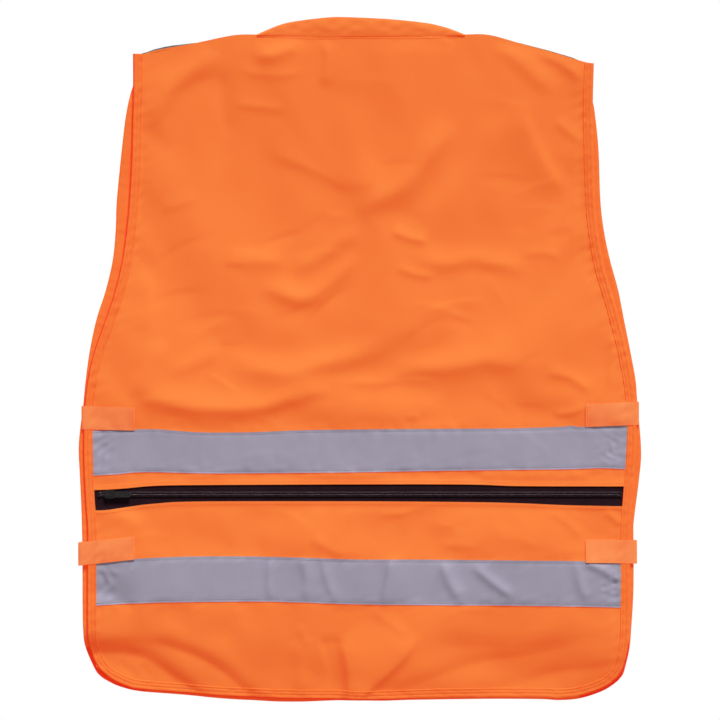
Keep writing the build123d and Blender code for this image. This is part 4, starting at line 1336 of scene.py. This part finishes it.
FRAME_SECTION = [(7, 0.2), (6.4, 0.9), (3.5, 1.2), (0.8, 0.9), (0, 0), (0.8, -0.4), (6.4, -0.4), (7, 0)]
FRAME_CORNER = 8
low, high = box_mm("id_window_frame")
left, bottom = low[::2] + FRAME_CORNER
right, top = high[::2] - FRAME_CORNER
ring = []
for x, z, mid in ((left, bottom, -135), (right, bottom, -45), (right, top, 45), (left, top, 135)):
    turn = np.radians(mid + np.linspace(-45, 45, 9))
    ring += [*zip(x + FRAME_CORNER * np.cos(turn), z + FRAME_CORNER * np.sin(turn))]
trim = sweep("card_window_trim", np.array(ring + ring[:1]), FRAME_SECTION, 1,
             lambda x, z, height: low[1] + 0.5 + height + front_field(x, z))
place_piece(trim, BLACK, "black_fabric", "id_window_frame")
vinyl = layer("card_window_vinyl", patch_grid(rectangle(*box_mm("id_window_sheet"), past=(2, 2)), 4),
              middle("id_window_sheet"), front_field, 1, thickness=0.3)
place_piece(vinyl, CLEAR, "clear_vinyl", "id_window_sheet", held="stretched", rests=["card_window_trim"])

# ---- floor, light and camera ---------------------------------------------------------------------------

FLOOR_Z, FLOOR_RADIUS, FLOOR_SIDES = -1.22, 1.7, 96
ring = [(FLOOR_RADIUS * math.cos(t), FLOOR_RADIUS * math.sin(t), FLOOR_Z)
        for t in np.linspace(0, math.tau, FLOOR_SIDES + 1)[:-1]]
floor_mesh = bpy.data.meshes.new("floor")
floor_mesh.from_pydata(ring, [], [list(range(FLOOR_SIDES))])
floor = add_object("floor", floor_mesh)
# The floor and the sky look paler to the camera than the light that they give the vest.
floor_material, tree, shader = new_material("pale_floor", Roughness=0.9)
seen = node(tree, "ShaderNodeLightPath").outputs["Is Camera Ray"]
fill(tree, shader.inputs["Base Color"], mixed(tree, (0.17, 0.17, 0.17), (0.38, 0.38, 0.38), seen))
floor_mesh.materials.append(floor_material)

world = bpy.data.worlds.new("studio")
bpy.context.scene.world = world
world.use_nodes = True
background = world.node_tree.nodes["Background"]
background.inputs["Color"].default_value = (1, 1, 1, 1)
seen = node(world.node_tree, "ShaderNodeLightPath").outputs["Is Camera Ray"]
fill(world.node_tree, background.inputs["Strength"], ranged(world.node_tree, seen, 0.21, 1.0))


SUN_SPREAD = 18  # degrees; the wider, the softer


def sun(name, direction, power):
    """A large soft light far away, shining along a direction."""
    light = bpy.data.lights.new(name, "SUN")
    light.energy, light.angle = power, math.radians(SUN_SPREAD)
    turn = mathutils.Vector(direction).to_track_quat("-Z", "Y")
    add_object(name, light).rotation_euler = turn.to_euler()


sun("key", (-0.22, 0.44, -0.87), 4.85)
sun("front_key", (0.42, -0.50, -0.76), 4.4)

# The camera looks straight at the middle of the back, from where the vest fills the frame as in the photo.
camera_data = bpy.data.cameras.new("camera")
camera_data.lens = 90
camera = add_object("camera", camera_data)
camera.location = (0.0, -2.096, -0.377)
camera.rotation_euler = (math.radians(90), 0, 0)
bpy.context.scene.camera = camera
bpy.context.scene.view_settings.view_transform = "Standard"
